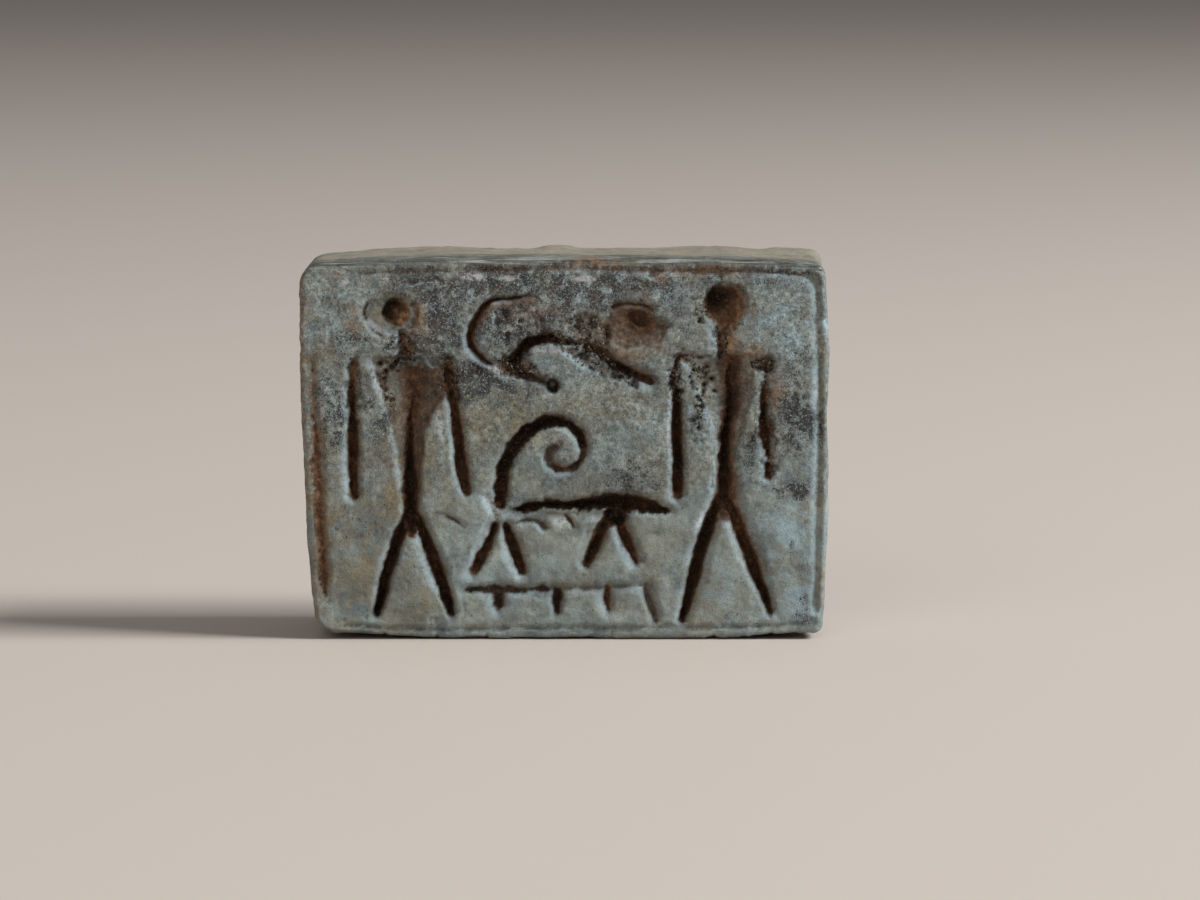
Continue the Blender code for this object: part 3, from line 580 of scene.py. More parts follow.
    r.stroke([(3.43, 7.70, 0.07), (3.46, 7.20, 0.15), (3.48, 6.1, 0.19), (3.49, 5.0, 0.18), (3.49, 4.50, 0.16)], 0.50, bevel=0.14, red=0.2)
    r.bowl(6.14, 8.45, 0.32, 0.20, 0.14, wall=0.12, bevel=0.05, red=1.0, dark=0.72, crumb=0.9, rough=0.08, halo=0.8)
    r.stroke([(6.22, 8.36, 0.07), (6.17, 8.0, 0.10), (6.08, 7.55, 0.09), (6.12, 7.04, 0.12), (6.19, 6.27, 0.13), (6.26, 5.6, 0.11), (6.27, 5.05, 0.10)], 0.40, bevel=0.13, red=0.5, rough=0.075, crumb=0.55, halo=1.0, lip=1.1)
    r.stain(6.42, 7.6, 0.14, 0.75, 0.45, warm=0.8)
    r.stroke([(4.70, 4.20, 0.17), (4.44, 3.5, 0.20), (4.07, 2.2, 0.22), (3.74, 0.95, 0.16), (3.64, 0.60, 0.12)], 0.55, bevel=0.20, red=0.1, wall=0.13, shoulder=0.34, shoulder_depth=0.12, halo=0.8)
    r.stroke([(5.06, 4.28, 0.18), (5.29, 3.80, 0.21), (5.49, 3.22, 0.22), (5.76, 2.50, 0.22), (5.98, 1.88, 0.20), (6.32, 0.92, 0.13)], 0.50, bevel=0.19, red=0.45, halo=1.0, wall=0.14, shoulder=0.26, shoulder_depth=0.10)

    r.stain(5.38, 4.25, 0.16, 0.28, 0.55, warm=0.3)
    # Pale rim left of the leg: painted highlight on worn stone.
    r.lip = np.maximum(r.lip, 1.0 * r.line([(4.12, 3.42), (4.24, 3.66), (4.36, 3.90)], 0.10))

    # long creature over the beast: curl, arched back breaking up over a crumbly slope, low stroke with a drilled ring
    r.stroke([(-1.14, 10.54, 0.03), (-1.69, 10.45, 0.055), (-2.15, 10.39, 0.07), (-2.46, 10.15, 0.10), (-2.71, 9.75, 0.125), (-2.82, 9.32, 0.13), (-2.78, 9.03, 0.11), (-2.62, 8.80, 0.08), (-2.40, 8.60, 0.06), (-2.15, 8.47, 0.04)], 0.38, bevel=0.10, red=0.35, halo=0.6, soft=1.6, shoulder=0.20, shoulder_depth=0.08)
    r.stain(-1.10, 10.44, 0.16, 0.14, 0.65, warm=0.5)
    inner = r.line([(-1.25, 10.40), (-1.75, 10.27), (-2.15, 10.20), (-2.40, 9.95), (-2.58, 9.6)], 0.06)
    r.dirt, r.red, r.tan = np.maximum(r.dirt, 0.7 * inner), np.maximum(r.red, inner), np.maximum(r.tan, 0.8 * inner)
    r.stroke([(0.20, 8.92, 0.10), (0.72, 8.68, 0.22), (1.20, 8.42, 0.22), (1.62, 8.18, 0.14), (2.20, 7.99, 0.07)], 0.12, wall=0.16, bevel=0.12, red=0.8, dark=0.22, crumb=0.75, rough=0.08, lip=1.0, halo=0.4)
    r.bowl(-1.44, 8.36, 0.46, 0.27, 0.22, tilt=-8, wall=0.2, bevel=0.10, red=0.45, dark=0.80, halo=1.0, rough=0.13, crumb=0.8, lip=0.3)
    r.stroke([(-1.60, 8.44, 0.16), (-1.40, 8.72, 0.18), (-1.27, 8.93, 0.17), (-1.06, 9.11, 0.17), (-0.79, 9.23, 0.17), (-0.48, 9.25, 0.15), (-0.16, 9.18, 0.09)], 0.48, bevel=0.18, bevel_depth=0.10, red=0.05, rough=0.06, crumb=0.5, halo=1.0, ends=0.5, lip=0.6)
    r.stroke([(-0.25, 9.22, 0.07), (0.20, 9.14, 0.08), (0.55, 9.10, 0.10), (0.85, 8.98, 0.12)], 0.16, bevel=0.08, red=0.8, dark=0.62, rough=0.10, crumb=1.0, halo=1.0, ends=0.3)
    r.stroke([(0.66, 9.05, 0.10), (1.00, 8.92, 0.17), (1.35, 8.68, 0.19), (1.60, 8.48, 0.16)], 0.34, bevel=0.14, red=0.85, dark=0.84, rough=0.08, crumb=0.5, halo=1.0, ends=0.3)
    r.stroke([(1.45, 8.50, 0.12), (1.68, 8.40, 0.18), (1.95, 8.28, 0.14)], 0.48, bevel=0.10, red=0.05, rough=0.06, crumb=0.3, halo=1.0, ends=0.4)
    r.stroke([(1.85, 8.34, 0.13), (2.23, 8.17, 0.13), (2.55, 7.97, 0.13), (2.72, 7.86, 0.11)], 0.38, bevel=0.14, red=0.55, dark=0.88, rough=0.06, crumb=0.4, halo=1.0, ends=0.3)
    r.stroke([(-0.10, 9.10, 0.02), (-0.06, 8.96, 0.02), (0.02, 8.86, 0.01)], 0.06, wall=0.03, bevel=0.03, lip=0.2, dark=0.9, grow=0.0)
    r.stroke([(-1.40, 8.22, 0.12), (-0.95, 8.04, 0.12), (-0.60, 7.93, 0.12)], 0.24, bevel=0.12, red=0.25, rough=0.06, crumb=0.4, dark=0.80, halo=1.0, shoulder=0.25)
    r.bowl(-0.33, 7.81, 0.24, 0.23, 0.26, wall=0.10, bevel=0.08, red=0.0, lip=0.4, dark=1.0, halo=0.6, rough=0.03)
    knob = np.exp(-np.hypot(r.x + 0.37, r.z - 7.82) ** 2 / 0.08 ** 2)
    r.depth, r.dirt = r.depth - 0.12 * knob, r.dirt * (1 - 0.55 * knob)
    r.crumb = np.maximum(r.crumb, r.patch(-1.6, 9.75, 0.75, 0.55, 0.60))
    r.crumb = np.maximum(r.crumb, r.patch(-2.35, 8.35, 0.45, 0.30, 0.55))

    # drilled, pointed oval hollow, deepest at its upper right
    r.bowl(2.10, 9.62, 0.96, 0.66, 0.20, tilt=-6, wall=0.50, bevel=0.05, red=0.9, dark=0.66, halo=0.6, lip=0.12, crumb=0.3, rough=0.10)
    # Pale lower-left rim of the hollow: painted highlight on worn stone.
    r.lip = np.maximum(r.lip, 0.8 * r.line([(1.95, 9.13), (2.10, 9.01), (2.35, 8.95)], 0.05))
    r.stroke([(2.3, 9.64, 0.36), (2.75, 9.62, 0.22), (3.20, 9.60, 0.03)], 0.16, wall=0.2, bevel=0.06, red=0.8, dark=0.66, lip=0.5, halo=0.5, ends=0.4)
    r.bowl(2.34, 9.80, 0.54, 0.36, 0.38, tilt=-25, wall=0.40, bevel=0.04, lip=0.0, red=0.55, lit=0.7, dark=0.90, halo=0.0, lean=0.3)
    r.bowl(2.62, 9.50, 0.22, 0.18, 0.10, wall=0.15, bevel=0.03, lip=0.0, red=0.3, dark=0.8, halo=0.0)
    r.stroke([(1.40, 10.16, 0.02), (1.62, 10.28, 0.05), (2.03, 10.31, 0.05), (2.44, 10.26, 0.05), (2.76, 10.08, 0.02)], 0.12, wall=0.05, bevel=0.05, lip=0.0, dark=0.95, red=0.4, halo=0.4)
    r.warm(1.75, 9.65, 0.22, 0.45, 0.55)
    r.warm(2.05, 9.25, 0.50, 0.20, 0.5)
    r.stain(1.90, 8.78, 0.60, 0.30, 0.50, warm=0.9)
    r.stain(2.95, 8.99, 0.07, 0.06, 0.9, warm=0.2)
    r.bowl(0.72, 9.52, 0.72, 0.40, 0.09, tilt=-20, wall=0.3, bevel=0.05, lip=0.0, red=0.9, rough=0.10, crumb=0.72, dark=0.34, halo=0.2)
    r.stain(1.25, 9.45, 0.35, 0.45, 0.55, warm=0.7)

    # beast with a coiled tail
    r.tail()
    r.stroke([(-1.62, 3.98, 0.04), (-1.3, 4.04, 0.10), (-0.9, 4.10, 0.14), (-0.3, 4.16, 0.16), (0.2, 4.18, 0.16), (0.9, 4.21, 0.20), (1.5, 4.21, 0.27), (2.1, 4.22, 0.30), (2.6, 4.12, 0.26), (3.0, 4.02, 0.14), (3.2, 3.97, 0.06)], 0.46, bevel=0.10, red=0.0, rough=0.075, halo=1.0, wall=0.15, shoulder=0.16)
    r.stroke([(-1.75, 3.88, 0.12), (-1.0, 3.86, 0.17), (-0.2, 3.84, 0.18), (0.6, 3.85, 0.18), (1.2, 3.9, 0.15)], 0.10, bevel=0.08, bevel_depth=0.02, dark=0.10, lip=0.3, halo=0.0, rough=0.03)
    r.bowl(1.54, 3.82, 0.44, 0.36, 0.42, wall=0.16, bevel=0.06, lip=0.2, red=0.0, dark=1.0, halo=1.0, rough=0.06)
    r.stroke([(-1.62, 3.56, 0.01), (-1.20, 3.66, 0.03), (-0.80, 3.61, 0.05), (-0.58, 3.43, 0.07)], 0.10, wall=0.05, bevel=0.10, dark=0.70, lip=0.8, rough=0.05, halo=0.4)
    r.stroke([(0.06, 3.88, 0.04), (0.18, 3.72, 0.06), (0.30, 3.50, 0.02)], 0.14, wall=0.05, bevel=0.10, dark=0.9, red=0.5, lip=0.9, rough=0.06, halo=0.6)
    # Pale rim left of the foreleg: painted highlight on worn stone.
    r.lip = np.maximum(r.lip, 0.8 * r.line([(0.66, 3.40), (0.50, 2.95), (0.44, 2.35)], 0.085))
    r.stroke([(-2.06, 3.50, 0.08), (-2.31, 2.94, 0.13), (-2.58, 2.40, 0.15), (-2.74, 2.08, 0.11)], 0.40, bevel=0.20, red=0.3, rough=0.04)
    r.stroke([(-1.72, 3.48, 0.13), (-1.50, 2.75, 0.17), (-1.25, 2.08, 0.14)], 0.44, bevel=0.14, red=0.1, rough=0.03)
    r.stroke([(1.48, 3.95, 0.17), (1.22, 3.50, 0.19), (0.98, 2.92, 0.20), (0.70, 2.34, 0.14)], 0.40, bevel=0.16, red=0.35, halo=1.0, wall=0.13, shoulder=0.20)
    r.stroke([(1.62, 3.95, 0.15), (1.76, 3.55, 0.17), (1.97, 3.0, 0.18), (2.21, 2.42, 0.11)], 0.38, bevel=0.17, red=0.5, halo=1.0, wall=0.13, shoulder=0.22, shoulder_depth=0.08)
    # Pale rims left of the hind leg: painted highlight on worn stone.
    r.stroke([(-2.34, 4.46, 0.04), (-2.16, 4.06, 0.07), (-2.10, 3.80, 0.04)], 0.07, wall=0.08, bevel=0.12, dark=0.0, lip=1.0, halo=0.0)
    r.lip = np.maximum(r.lip, 0.9 * r.line([(-2.22, 4.1), (-2.32, 3.75), (-2.60, 3.10), (-2.84, 2.45), (-2.90, 1.75)], 0.075) * np.clip(0.8 + r.slow + 0.6 * r.wobble, 0, 1))

    # toothed ground
    r.stroke([(-2.98, 1.52, 0.06), (-2.3, 1.54, 0.10), (-1.4, 1.54, 0.08), (-0.5, 1.57, 0.07)], 0.15, bevel=0.30, bevel_depth=0.08, rough=0.07, wall=0.09, dark=0.85, halo=0.8, lip=1.0, shoulder=0.10)
    r.stroke([(-0.7, 1.57, 0.05), (0.6, 1.60, 0.06), (1.3, 1.62, 0.06), (2.0, 1.65, 0.03), (2.66, 1.68, 0.04)], 0.09, bevel=0.30, bevel_depth=0.08, rough=0.06, wall=0.09, dark=0.42, halo=0.6, lip=1.0, shoulder=0.10)
    for cx, z0, z1, w, d, red in ((-1.98, 1.50, 1.05, 0.22, 0.20, 0.1), (-0.19, 1.50, 0.86, 0.14, 0.32, 0.1), (1.38, 1.60, 0.94, 0.13, 0.24, 0.7)):
        r.stroke([(cx, z0, w), (cx - 0.02, (z0 + z1) / 2, w * 0.9), (cx + 0.03, z1, w * 0.65)], d, bevel=0.24, bevel_depth=0.08, red=red, rough=0.05, wall=0.11, halo=0.9, dark=0.9)
    r.stroke([(2.52, 1.66, 0.10), (2.62, 1.30, 0.12), (2.72, 0.92, 0.12), (2.82, 0.58, 0.08)], 0.22, bevel=0.20, bevel_depth=0.07, red=0.6, dark=0.70, halo=1.0, shoulder=0.24)

    # border line: a bevelled panel edge at the right, a soft brown stain at the left, worn nearly flat below
    r.stroke([(2.7, 11.34, 0.06), (4.2, 11.32, 0.11), (5.2, 11.30, 0.10), (6.3, 11.28, 0.08)], 0.08, bevel=0.10, bevel_depth=0.05, red=0.9, dark=0.42, wall=0.10, lip=0.35, rough=0.06, halo=0.3)
    r.stroke([(5.9, 11.30, 0.06), (6.4, 11.28, 0.08), (7.25, 11.22, 0.08), (7.62, 11.05, 0.09), (7.76, 10.70, 0.09), (7.80, 9.6, 0.10), (7.84, 8.0, 0.10), (7.85, 6.4, 0.11), (7.82, 4.6, 0.10), (7.80, 2.6, 0.09), (7.76, 0.9, 0.06)],
             0.045, bevel=0.14, bevel_depth=0.060, red=0.9, dark=0.05, wall=0.12, halo=0.0, lip=1.25, rough=0.02, even=0.6, shoulder=0.03, shoulder_depth=0.02)
    r.ochre = np.maximum(r.ochre, 0.62 * r.line([(7.0, 11.26), (7.6, 11.06), (7.78, 10.6), (7.84, 8.0), (7.86, 6.4), (7.80, 2.6), (7.78, 1.0)], 0.14))
    r.stroke([(-6.6, 11.22, 0.03), (-4.5, 11.28, 0.06), (-2.0, 11.34, 0.07), (0.4, 11.36, 0.06), (2.7, 11.34, 0.06)], 0.06, bevel=0.10, bevel_depth=0.02, red=0.8, dark=0.35, wall=0.07, lip=0.25, rough=0.05, halo=0.4)
    r.stroke([(-7.70, 8.7, 0.03), (-7.64, 7.6, 0.08), (-7.59, 6.4, 0.10)], 0.04, wall=0.16, bevel=0.06, bevel_depth=0.015, rough=0.07, red=1.0, lip=0.0, dark=0.42, halo=0.4)
    r.stroke([(-7.62, 6.9, 0.05), (-7.56, 5.9, 0.12), (-7.50, 4.6, 0.13), (-7.42, 2.9, 0.12), (-7.28, 1.3, 0.07)], 0.06, wall=0.14, bevel=0.06, bevel_depth=0.015, rough=0.06, red=1.0, lip=0.0, dark=0.95, halo=0.6)
    r.stroke([(-6.7, 0.44, 0.02), (-5.0, 0.34, 0.05), (-3.0, 0.30, 0.04), (-0.5, 0.34, 0.05), (2.0, 0.36, 0.05), (4.4, 0.38, 0.04), (7.2, 0.44, 0.03)], 0.05, bevel=0.10, bevel_depth=0.02, rough=0.05, wall=0.06, dark=0.35, lip=0.35, halo=0.1)

    # deep pits in the crumbly shoulders
    for cx, cz, size in ((-5.57, 8.45, 0.10), (-5.24, 8.36, 0.13), (-5.40, 8.24, 0.09), (-5.12, 8.52, 0.08), (-5.45, 8.02, 0.07), (-5.05, 8.22, 0.06), (4.53, 8.02, 0.11), (4.30, 7.80, 0.08), (3.98, 8.28, 0.08), (4.62, 7.62, 0.08), (4.08, 7.45, 0.07), (4.36, 8.38, 0.07), (3.86, 8.05, 0.06)):
        pit = np.exp(-(np.hypot(r.x - cx + 0.02 * r.wobble, (r.z - cz) / 0.8) / size) ** 4)
        r.depth, r.dirt = r.depth + 0.12 * pit, np.maximum(r.dirt, pit)
        r.red, r.tan = r.red * (1 - pit), r.tan * (1 - pit)

    # stray graver scratches
    r.stroke([(-3.95, 3.84, 0.01), (-3.66, 3.80, 0.025), (-3.36, 3.66, 0.035), (-3.08, 3.44, 0.012)], 0.07, wall=0.03, bevel=0.04, bevel_depth=0.01, lip=0.3, dark=0.8)
    r.stroke([(-4.75, 10.92, 0.02), (-3.9, 11.02, 0.03)], 0.04, wall=0.03, bevel=0.04, bevel_depth=0.01, lip=0.8, dark=0.0)
    return r


# --- build it ---------------------------------------------------------------------------------

P, QUADS, TRIS, FACE_COUNT, TUBE = build_block()
normals = vertex_normals(P, QUADS, TRIS)
front = np.clip(-normals[:, 1], 0, 1) ** 3
on_face = np.arange(len(P)) < FACE_COUNT + 2 * (NX + NZ) * ROUND_RINGS

# Grid points beside a rim are slid onto it, so that the cut edges run clean across the grid.
relief = carve(P[:, 0], P[:, 2])
cell = 2 * HALF_WIDTH / NX
inner_grid = np.zeros(len(P), bool)
inner_grid[:FACE_COUNT] = (np.abs(P[:FACE_COUNT, 0]) < HALF_WIDTH - 0.55) & (P[:FACE_COUNT, 2] > 0.35) & (P[:FACE_COUNT, 2] < HEIGHT - 0.45)
slide = np.where(inner_grid & (np.abs(relief.rim) < 0.55 * cell), -relief.rim, 0.0) * 0.85
P[:, 0] += slide * relief.rim_x
P[:, 2] += slide * relief.rim_z
relief = carve(P[:, 0], P[:, 2])
x, y, z = P.T
depth = np.where(on_face, relief.depth * front, 0.0)

in_bore = np.zeros(len(P), bool)
in_bore[TUBE] = True
top = np.clip(normals[:, 2], 0, 1) * (z > HEIGHT - 1.2) * ~in_bore
under = np.clip(-normals[:, 2], 0, 1) * (z < 1.2) * ~in_bore
ends = np.abs(normals[:, 0]) * (np.abs(x) > 6.5) * ~in_bore
back = np.clip(normals[:, 1], 0, 1) * (y > 0)

# Slow unevenness of a hand-ground block, then grain.
push = -0.030 * fbm(P, 0.33, 3, 3)
push += -0.024 * fbm(P, 1.1, 5, 3) - 0.011 * fbm(P, 5.5, 7, 3)

# Pits: a few everywhere, many in the crumbly stone.
crumbly = relief.crumb * on_face
grit = fbm(P, 4.6, 47, 3)
pits = smooth((grit - (0.62 - 0.66 * crumbly)) / 0.16)
push -= (0.030 + 0.110 * crumbly) * pits * (0.4 + 0.6 * front)
push += 0.045 * crumbly * fbm(P, 8.0, 53, 2)

# Grinding marks: along X on the top and underside, up and down on the ends and back.
push -= 0.034 * top * (1 - 0.55 * smooth((y + 1.9) / 1.6)) * (fbm(P, 1.0, 61, 4, stretch=(0.32, 5.5, 5.5)) + 0.2)
push -= 0.022 * under * (fbm(P, 1.0, 67, 3, stretch=(0.3, 3.5, 3.5)) + 1.1)
push -= 0.024 * ends * fbm(P, 1.0, 71, 4, stretch=(4.0, 4.0, 0.45))
push -= 0.022 * back * (fbm(P, 1.0, 73, 4, stretch=(2.6, 2.6, 0.35)) + 0.4)

# The back top edge stands a little proud in places.
rear = smooth((y - 0.6) / 1.4) * top
push += np.where(x > 7.2, (0.07 + 0.035 * smooth((5.0 - z) / 0.9) + 0.03 * np.exp(-((z - 1.3) / 0.5) ** 2) - 0.075 * np.exp(-((z - 6.6) / 1.2) ** 2)) * np.abs(normals[:, 0]) * (1 - back), 0) + 0.02 * (x > 7.2) * np.exp(-((z - 0.2) / 0.5) ** 2) * (1 - back)
push += rear * (0.10 * np.exp(-((x + 0.20) / 0.55) ** 4) + 0.09 * np.exp(-((x - 4.8) / 1.5) ** 2) + 0.05 * np.exp(-((x + 4.6) / 1.4) ** 2) + 0.15 * smooth((x - 5.5) / 1.6))

# Edges: more wear, small chips and nicks.
edge_front = np.exp(-((y - FACE_Y - 0.05) / 0.22) ** 2) * (1 - front) * (1 - back)
chips = smooth((fbm(P, 2.2, 83, 3) - 0.30) / 0.3)
push -= 0.045 * chips * edge_front
push -= 0.030 * edge_front * fbm(P, 1.3, 85, 3) * (z < HEIGHT - 0.8)
corner = np.exp(-((y + FACE_Y + 0.25) / 0.35) ** 2) * (1 - back)
push -= 0.09 * smooth((fbm(P, 1.1, 89, 3) - 0.2) / 0.35) * corner
for at, width, amount in ((-5.48, 0.06, 0.07), (-3.88, 0.05, 0.07), (-2.36, 0.07, 0.08), (-1.35, 0.40, 0.06), (1.45, 0.06, 0.06), (4.6, 0.10, 0.04), (6.35, 0.06, 0.05)):
    push -= amount * np.exp(-((x - at) / width) ** 2) * np.exp(-((z - 0.10) / 0.16) ** 2) * np.exp(-((y - FACE_Y) / 0.35) ** 2)

# A shallow border line on the plain back, and the bore worn by its string.
from_edge = np.minimum.reduce([
    np.abs(side_x(x, z)) - np.abs(x), z - 0.10 - 0.1 * (np.abs(x) / 8) ** 2, HEIGHT - 0.06 - 0.14 * (np.abs(x) / 8) ** 3 - z,
])
line = np.exp(-((from_edge - 0.85 + 0.05 * relief.wobble) / 0.10) ** 2) * (back > 0.95)
push -= 0.06 * line * np.clip(0.7 + 0.6 * fbm(P, 0.8, 97, 2), 0, 1)
push = np.where(in_bore, 0.03 * fbm(P, 1.0, 101, 3, stretch=(0.5, 2.0, 2.0)), push)

Q = P + normals * push[:, None]
Q[:, 1] += depth
Q[:, 2] = np.where(under > 0.5, np.maximum(Q[:, 2], 0.0), Q[:, 2])

mesh = bpy.data.meshes.new("bead_stone")
nq, nt = len(QUADS), len(TRIS)
mesh.vertices.add(len(Q))
mesh.vertices.foreach_set("co", (Q * MM).astype(np.float32).ravel())
mesh.loops.add(nq * 4 + nt * 3)
mesh.loops.foreach_set("vertex_index", np.concatenate([QUADS.ravel(), TRIS.ravel()]).astype(np.int32))
mesh.polygons.add(nq + nt)
starts = np.concatenate([np.arange(nq) * 4, nq * 4 + np.arange(nt) * 3]).astype(np.int32)
mesh.polygons.foreach_set("loop_start", starts)
mesh.update(calc_edges=True)
mesh.validate()
mesh.shade_smooth()
bead = bpy.data.objects.new("bead_stone", mesh)
bpy.context.scene.collection.objects.link(bead)


def store(name, values):
    layer = mesh.attributes.new(name, "FLOAT", "POINT")
    layer.data.foreach_set("value", np.clip(values, 0, 1).astype(np.float32))


def patches(items):
    total = np.zeros(len(P))
    for item in items:
        total = np.maximum(total, relief.patch(*item))
    return total


# Where the stone is dark and peppery, bluish, ochre or rusty. Each is a few soft patches.
front_side = y < FACE_Y + 0.6
upper = smooth((z - 6.6) / 4.2)
soot = np.maximum(0.46 * upper * np.where(x < -5.9, 0.26, 1) * np.where((x > 5.5) & (z < 10.9), 0.6, 1), patches([
    (-2.6, 11.05, 3.2, 0.70, 0.95), (1.0, 11.05, 2.8, 0.60, 1.0), (-3.8, 9.8, 1.0, 1.3, 1.0), (-2.4, 7.85, 1.3, 0.85, 1.0),
    (-1.5, 9.75, 1.3, 0.8, 1.0), (-5.70, 7.1, 0.50, 1.2, 0.85), (-7.0, 6.9, 0.6, 1.4, 0.75), (-6.6, 8.9, 0.8, 0.6, 0.40),
    (7.05, 7.0, 0.75, 1.3, 1.0), (7.15, 4.55, 0.75, 0.25, 0.95), (2.0, 5.3, 1.5, 0.8, 0.55), (5.9, 6.2, 0.45, 1.2, 0.70),
    (6.9, 8.6, 0.8, 0.7, 0.50), (7.25, 0.85, 0.55, 0.45, 0.80), (7.1, 2.4, 0.6, 0.5, 0.35), (0.2, 10.4, 1.8, 0.6, 0.85),
    (-6.2, 3.4, 1.0, 1.2, 0.25), (-6.3, 9.3, 0.9, 0.4, 0.65), (-7.0, 10.4, 0.6, 0.4, 0.5), (6.5, 11.35, 1.8, 0.25, 0.75), (1.9, 4.75, 1.5, 0.25, 0.65), (4.2, 7.4, 0.5, 1.3, 0.55),
]))
blue = patches([
    (6.9, 9.6, 1.3, 1.8, 0.9), (7.0, 3.0, 1.0, 2.4, 1.0), (-6.8, 9.9, 1.2, 1.4, 0.8), (-3.0, 9.6, 1.6, 1.2, 0.6),
    (0.0, 10.6, 2.6, 0.8, 0.7), (3.4, 10.4, 1.0, 0.9, 0.8), (-0.5, 8.2, 1.6, 0.7, 0.7), (5.6, 1.5, 1.6, 1.4, 0.6),
    (-2.9, 2.6, 1.4, 1.4, 0.4), (-6.9, 7.0, 0.8, 1.6, 0.6), (2.6, 7.0, 1.6, 1.0, 0.5), (2.6, 1.3, 0.5, 0.3, 0.6),
])
ochre = patches([
    (-7.1, 3.8, 1.0, 3.6, 1.0), (-5.9, 2.6, 1.2, 1.8, 0.75), (-4.6, 1.6, 0.7, 0.9, 0.7), (-3.9, 5.0, 0.6, 0.8, 0.5), (-1.9, 7.0, 1.6, 0.9, 0.70), (-5.4, 4.8, 0.7, 1.6, 1.0), (-4.1, 6.2, 0.5, 1.2, 0.8),
    (0.8, 7.2, 2.4, 0.8, 0.45), (4.4, 1.4, 0.6, 1.0, 0.8), (-6.6, 8.6, 0.7, 0.6, 0.4), (1.2, 9.1, 0.9, 0.6, 0.6),
    (3.2, 6.4, 0.6, 1.6, 0.4), (-5.5, 10.9, 1.6, 0.5, 0.5), (-4.5, 2.2, 0.8, 1.0, 0.4), (1.4, 10.2, 0.6, 0.5, 0.6),
])
rust = np.maximum(patches([
    (1.05, 11.62, 0.80, 0.22, 1.0), (-7.56, 6.6, 0.20, 2.2, 0.75), (-7.46, 3.8, 0.20, 2.3, 1.0), (-6.9, 11.1, 0.30, 0.20, 0.6),
    (-7.85, 8.6, 0.20, 0.20, 0.9), (4.3, 11.34, 1.2, 0.14, 0.8), (-4.45, 9.75, 0.20, 0.45, 0.7), (2.97, 11.1, 0.20, 0.22, 0.8), (2.49, 10.57, 0.22, 0.20, 0.7), (-7.95, 9.6, 0.10, 0.5, 0.9),
    (-6.3, 9.75, 0.22, 0.35, 0.7), (6.62, 7.9, 0.16, 0.6, 0.8), (-1.0, 10.1, 0.6, 0.2, 0.45), (2.7, 9.0, 0.5, 0.3, 0.5),
]), 0.8 * np.exp(-((x + 7.98) / 0.10) ** 2) * (z > 5) * (z < 11.2))
# Pale chips along the top edge are pale stone; the pale patches lower down are painted bluish highlights on rims and
# slopes that face the light.
pale = patches([
    (-6.72, 10.98, 0.20, 0.08, 1.0), (-5.45, 11.06, 0.13, 0.08, 0.7), (-2.72, 11.12, 0.42, 0.09, 1.0), (-1.70, 11.09, 0.22, 0.10, 0.8),
    (0.66, 11.08, 0.34, 0.08, 1.0), (4.24, 3.66, 0.14, 0.36, 1.0, -28), (4.20, 3.5, 0.12, 0.2, 1.0, -28), 
    (-5.58, 9.63, 0.17, 0.10, 0.9, -35), (-5.66, 7.85, 0.12, 0.42, 1.0, 14), (-6.35, 8.35, 0.12, 0.12, 0.0), (-3.75, 6.6, 0.09, 0.45, 0.8, 8),
    (-2.1, 4.1, 0.12, 0.40, 0.9, 24), (-0.22, 3.56, 0.22, 0.16, 0.9), (0.80, 3.74, 0.16, 0.09, 0.8), (-2.0, 8.25, 0.36, 0.11, 1.0, -38), (-0.50, 8.88, 0.42, 0.09, 0.9, -8), (3.2, 6.9, 0.08, 1.5, 0.5),
])
pale = np.where(z > 10.9, smooth((pale - 0.30) / 0.30), pale)
store("dirt", relief.dirt * on_face)
# Pale worn lips, with a painted highlight where they face the light.
store("lip", relief.lip * front * on_face)
store("red", relief.red * on_face)
store("crumb", crumbly)
store("tan", relief.tan * on_face)
store("beige", relief.beige * on_face)
store("pit", pits * (0.15 + 0.85 * crumbly) * on_face)
# Brown stain beside the cuts, with painted shade on the side away from the light.
store("halo", relief.halo * on_face * (1 - relief.dirt))
store("soot", np.where(front_side, soot, 0.30 + 0.30 * fbm(P, 0.35, 131, 2)))
store("blue", np.where(front_side, blue, 0.3 + 0.3 * fbm(P, 0.3, 137, 2)))
store("ochre", np.where(front_side, np.maximum(ochre, relief.ochre), 0.4 + 0.4 * fbm(P, 0.4, 139, 2)))
store("rust", np.where(front_side, rust, 0.0))
# Pale chips, and painted highlights lower down.
store("pale", np.where(front_side, pale, 0.0))
store("topside", top * (y > FACE_Y - 0.1) * (1 - 0.62 * smooth((y + 1.9) / 1.6)))
store("upper", np.where(front_side, 0.26 + 0.74 * smooth((z - 2.5) / 5.0), 0.8))
store("rear", smooth((y + 1.6) / 1.5) * top)
store("brown", np.where(front_side, np.maximum(0.55 * smooth((z - 7.0) / 2.5), patches([
    (-6.4, 8.6, 1.1, 1.0, 0.9), (-6.9, 10.3, 1.0, 0.7, 0.8), (-5.6, 9.6, 0.9, 0.5, 1.0), (-4.5, 9.5, 0.35, 0.7, 1.0), (-4.5, 8.9, 1.2, 0.3, 1.0), (1.6, 10.2, 1.2, 0.5, 1.0),
    (0.7, 9.3, 1.0, 0.7, 1.0), (-1.2, 9.8, 0.8, 0.5, 0.9), (6.3, 8.0, 0.4, 0.9, 1.0), (4.9, 9.1, 0.7, 0.5, 1.0), (-7.6, 8.5, 0.4, 2.4, 0.8),
    (-7.5, 4.6, 0.22, 3.4, 1.0), (-7.6, 7.6, 0.2, 1.8, 0.9), (-5.6, 4.6, 0.5, 1.4, 0.7), (3.2, 11.4, 4.5, 0.2, 0.9), (4.4, 1.2, 0.5, 0.8, 0.5),
])), 0.5))
store("bore", np.where(in_bore, 1.0, 0.0))


# --- stone ------------------------------------------------------------------------------------

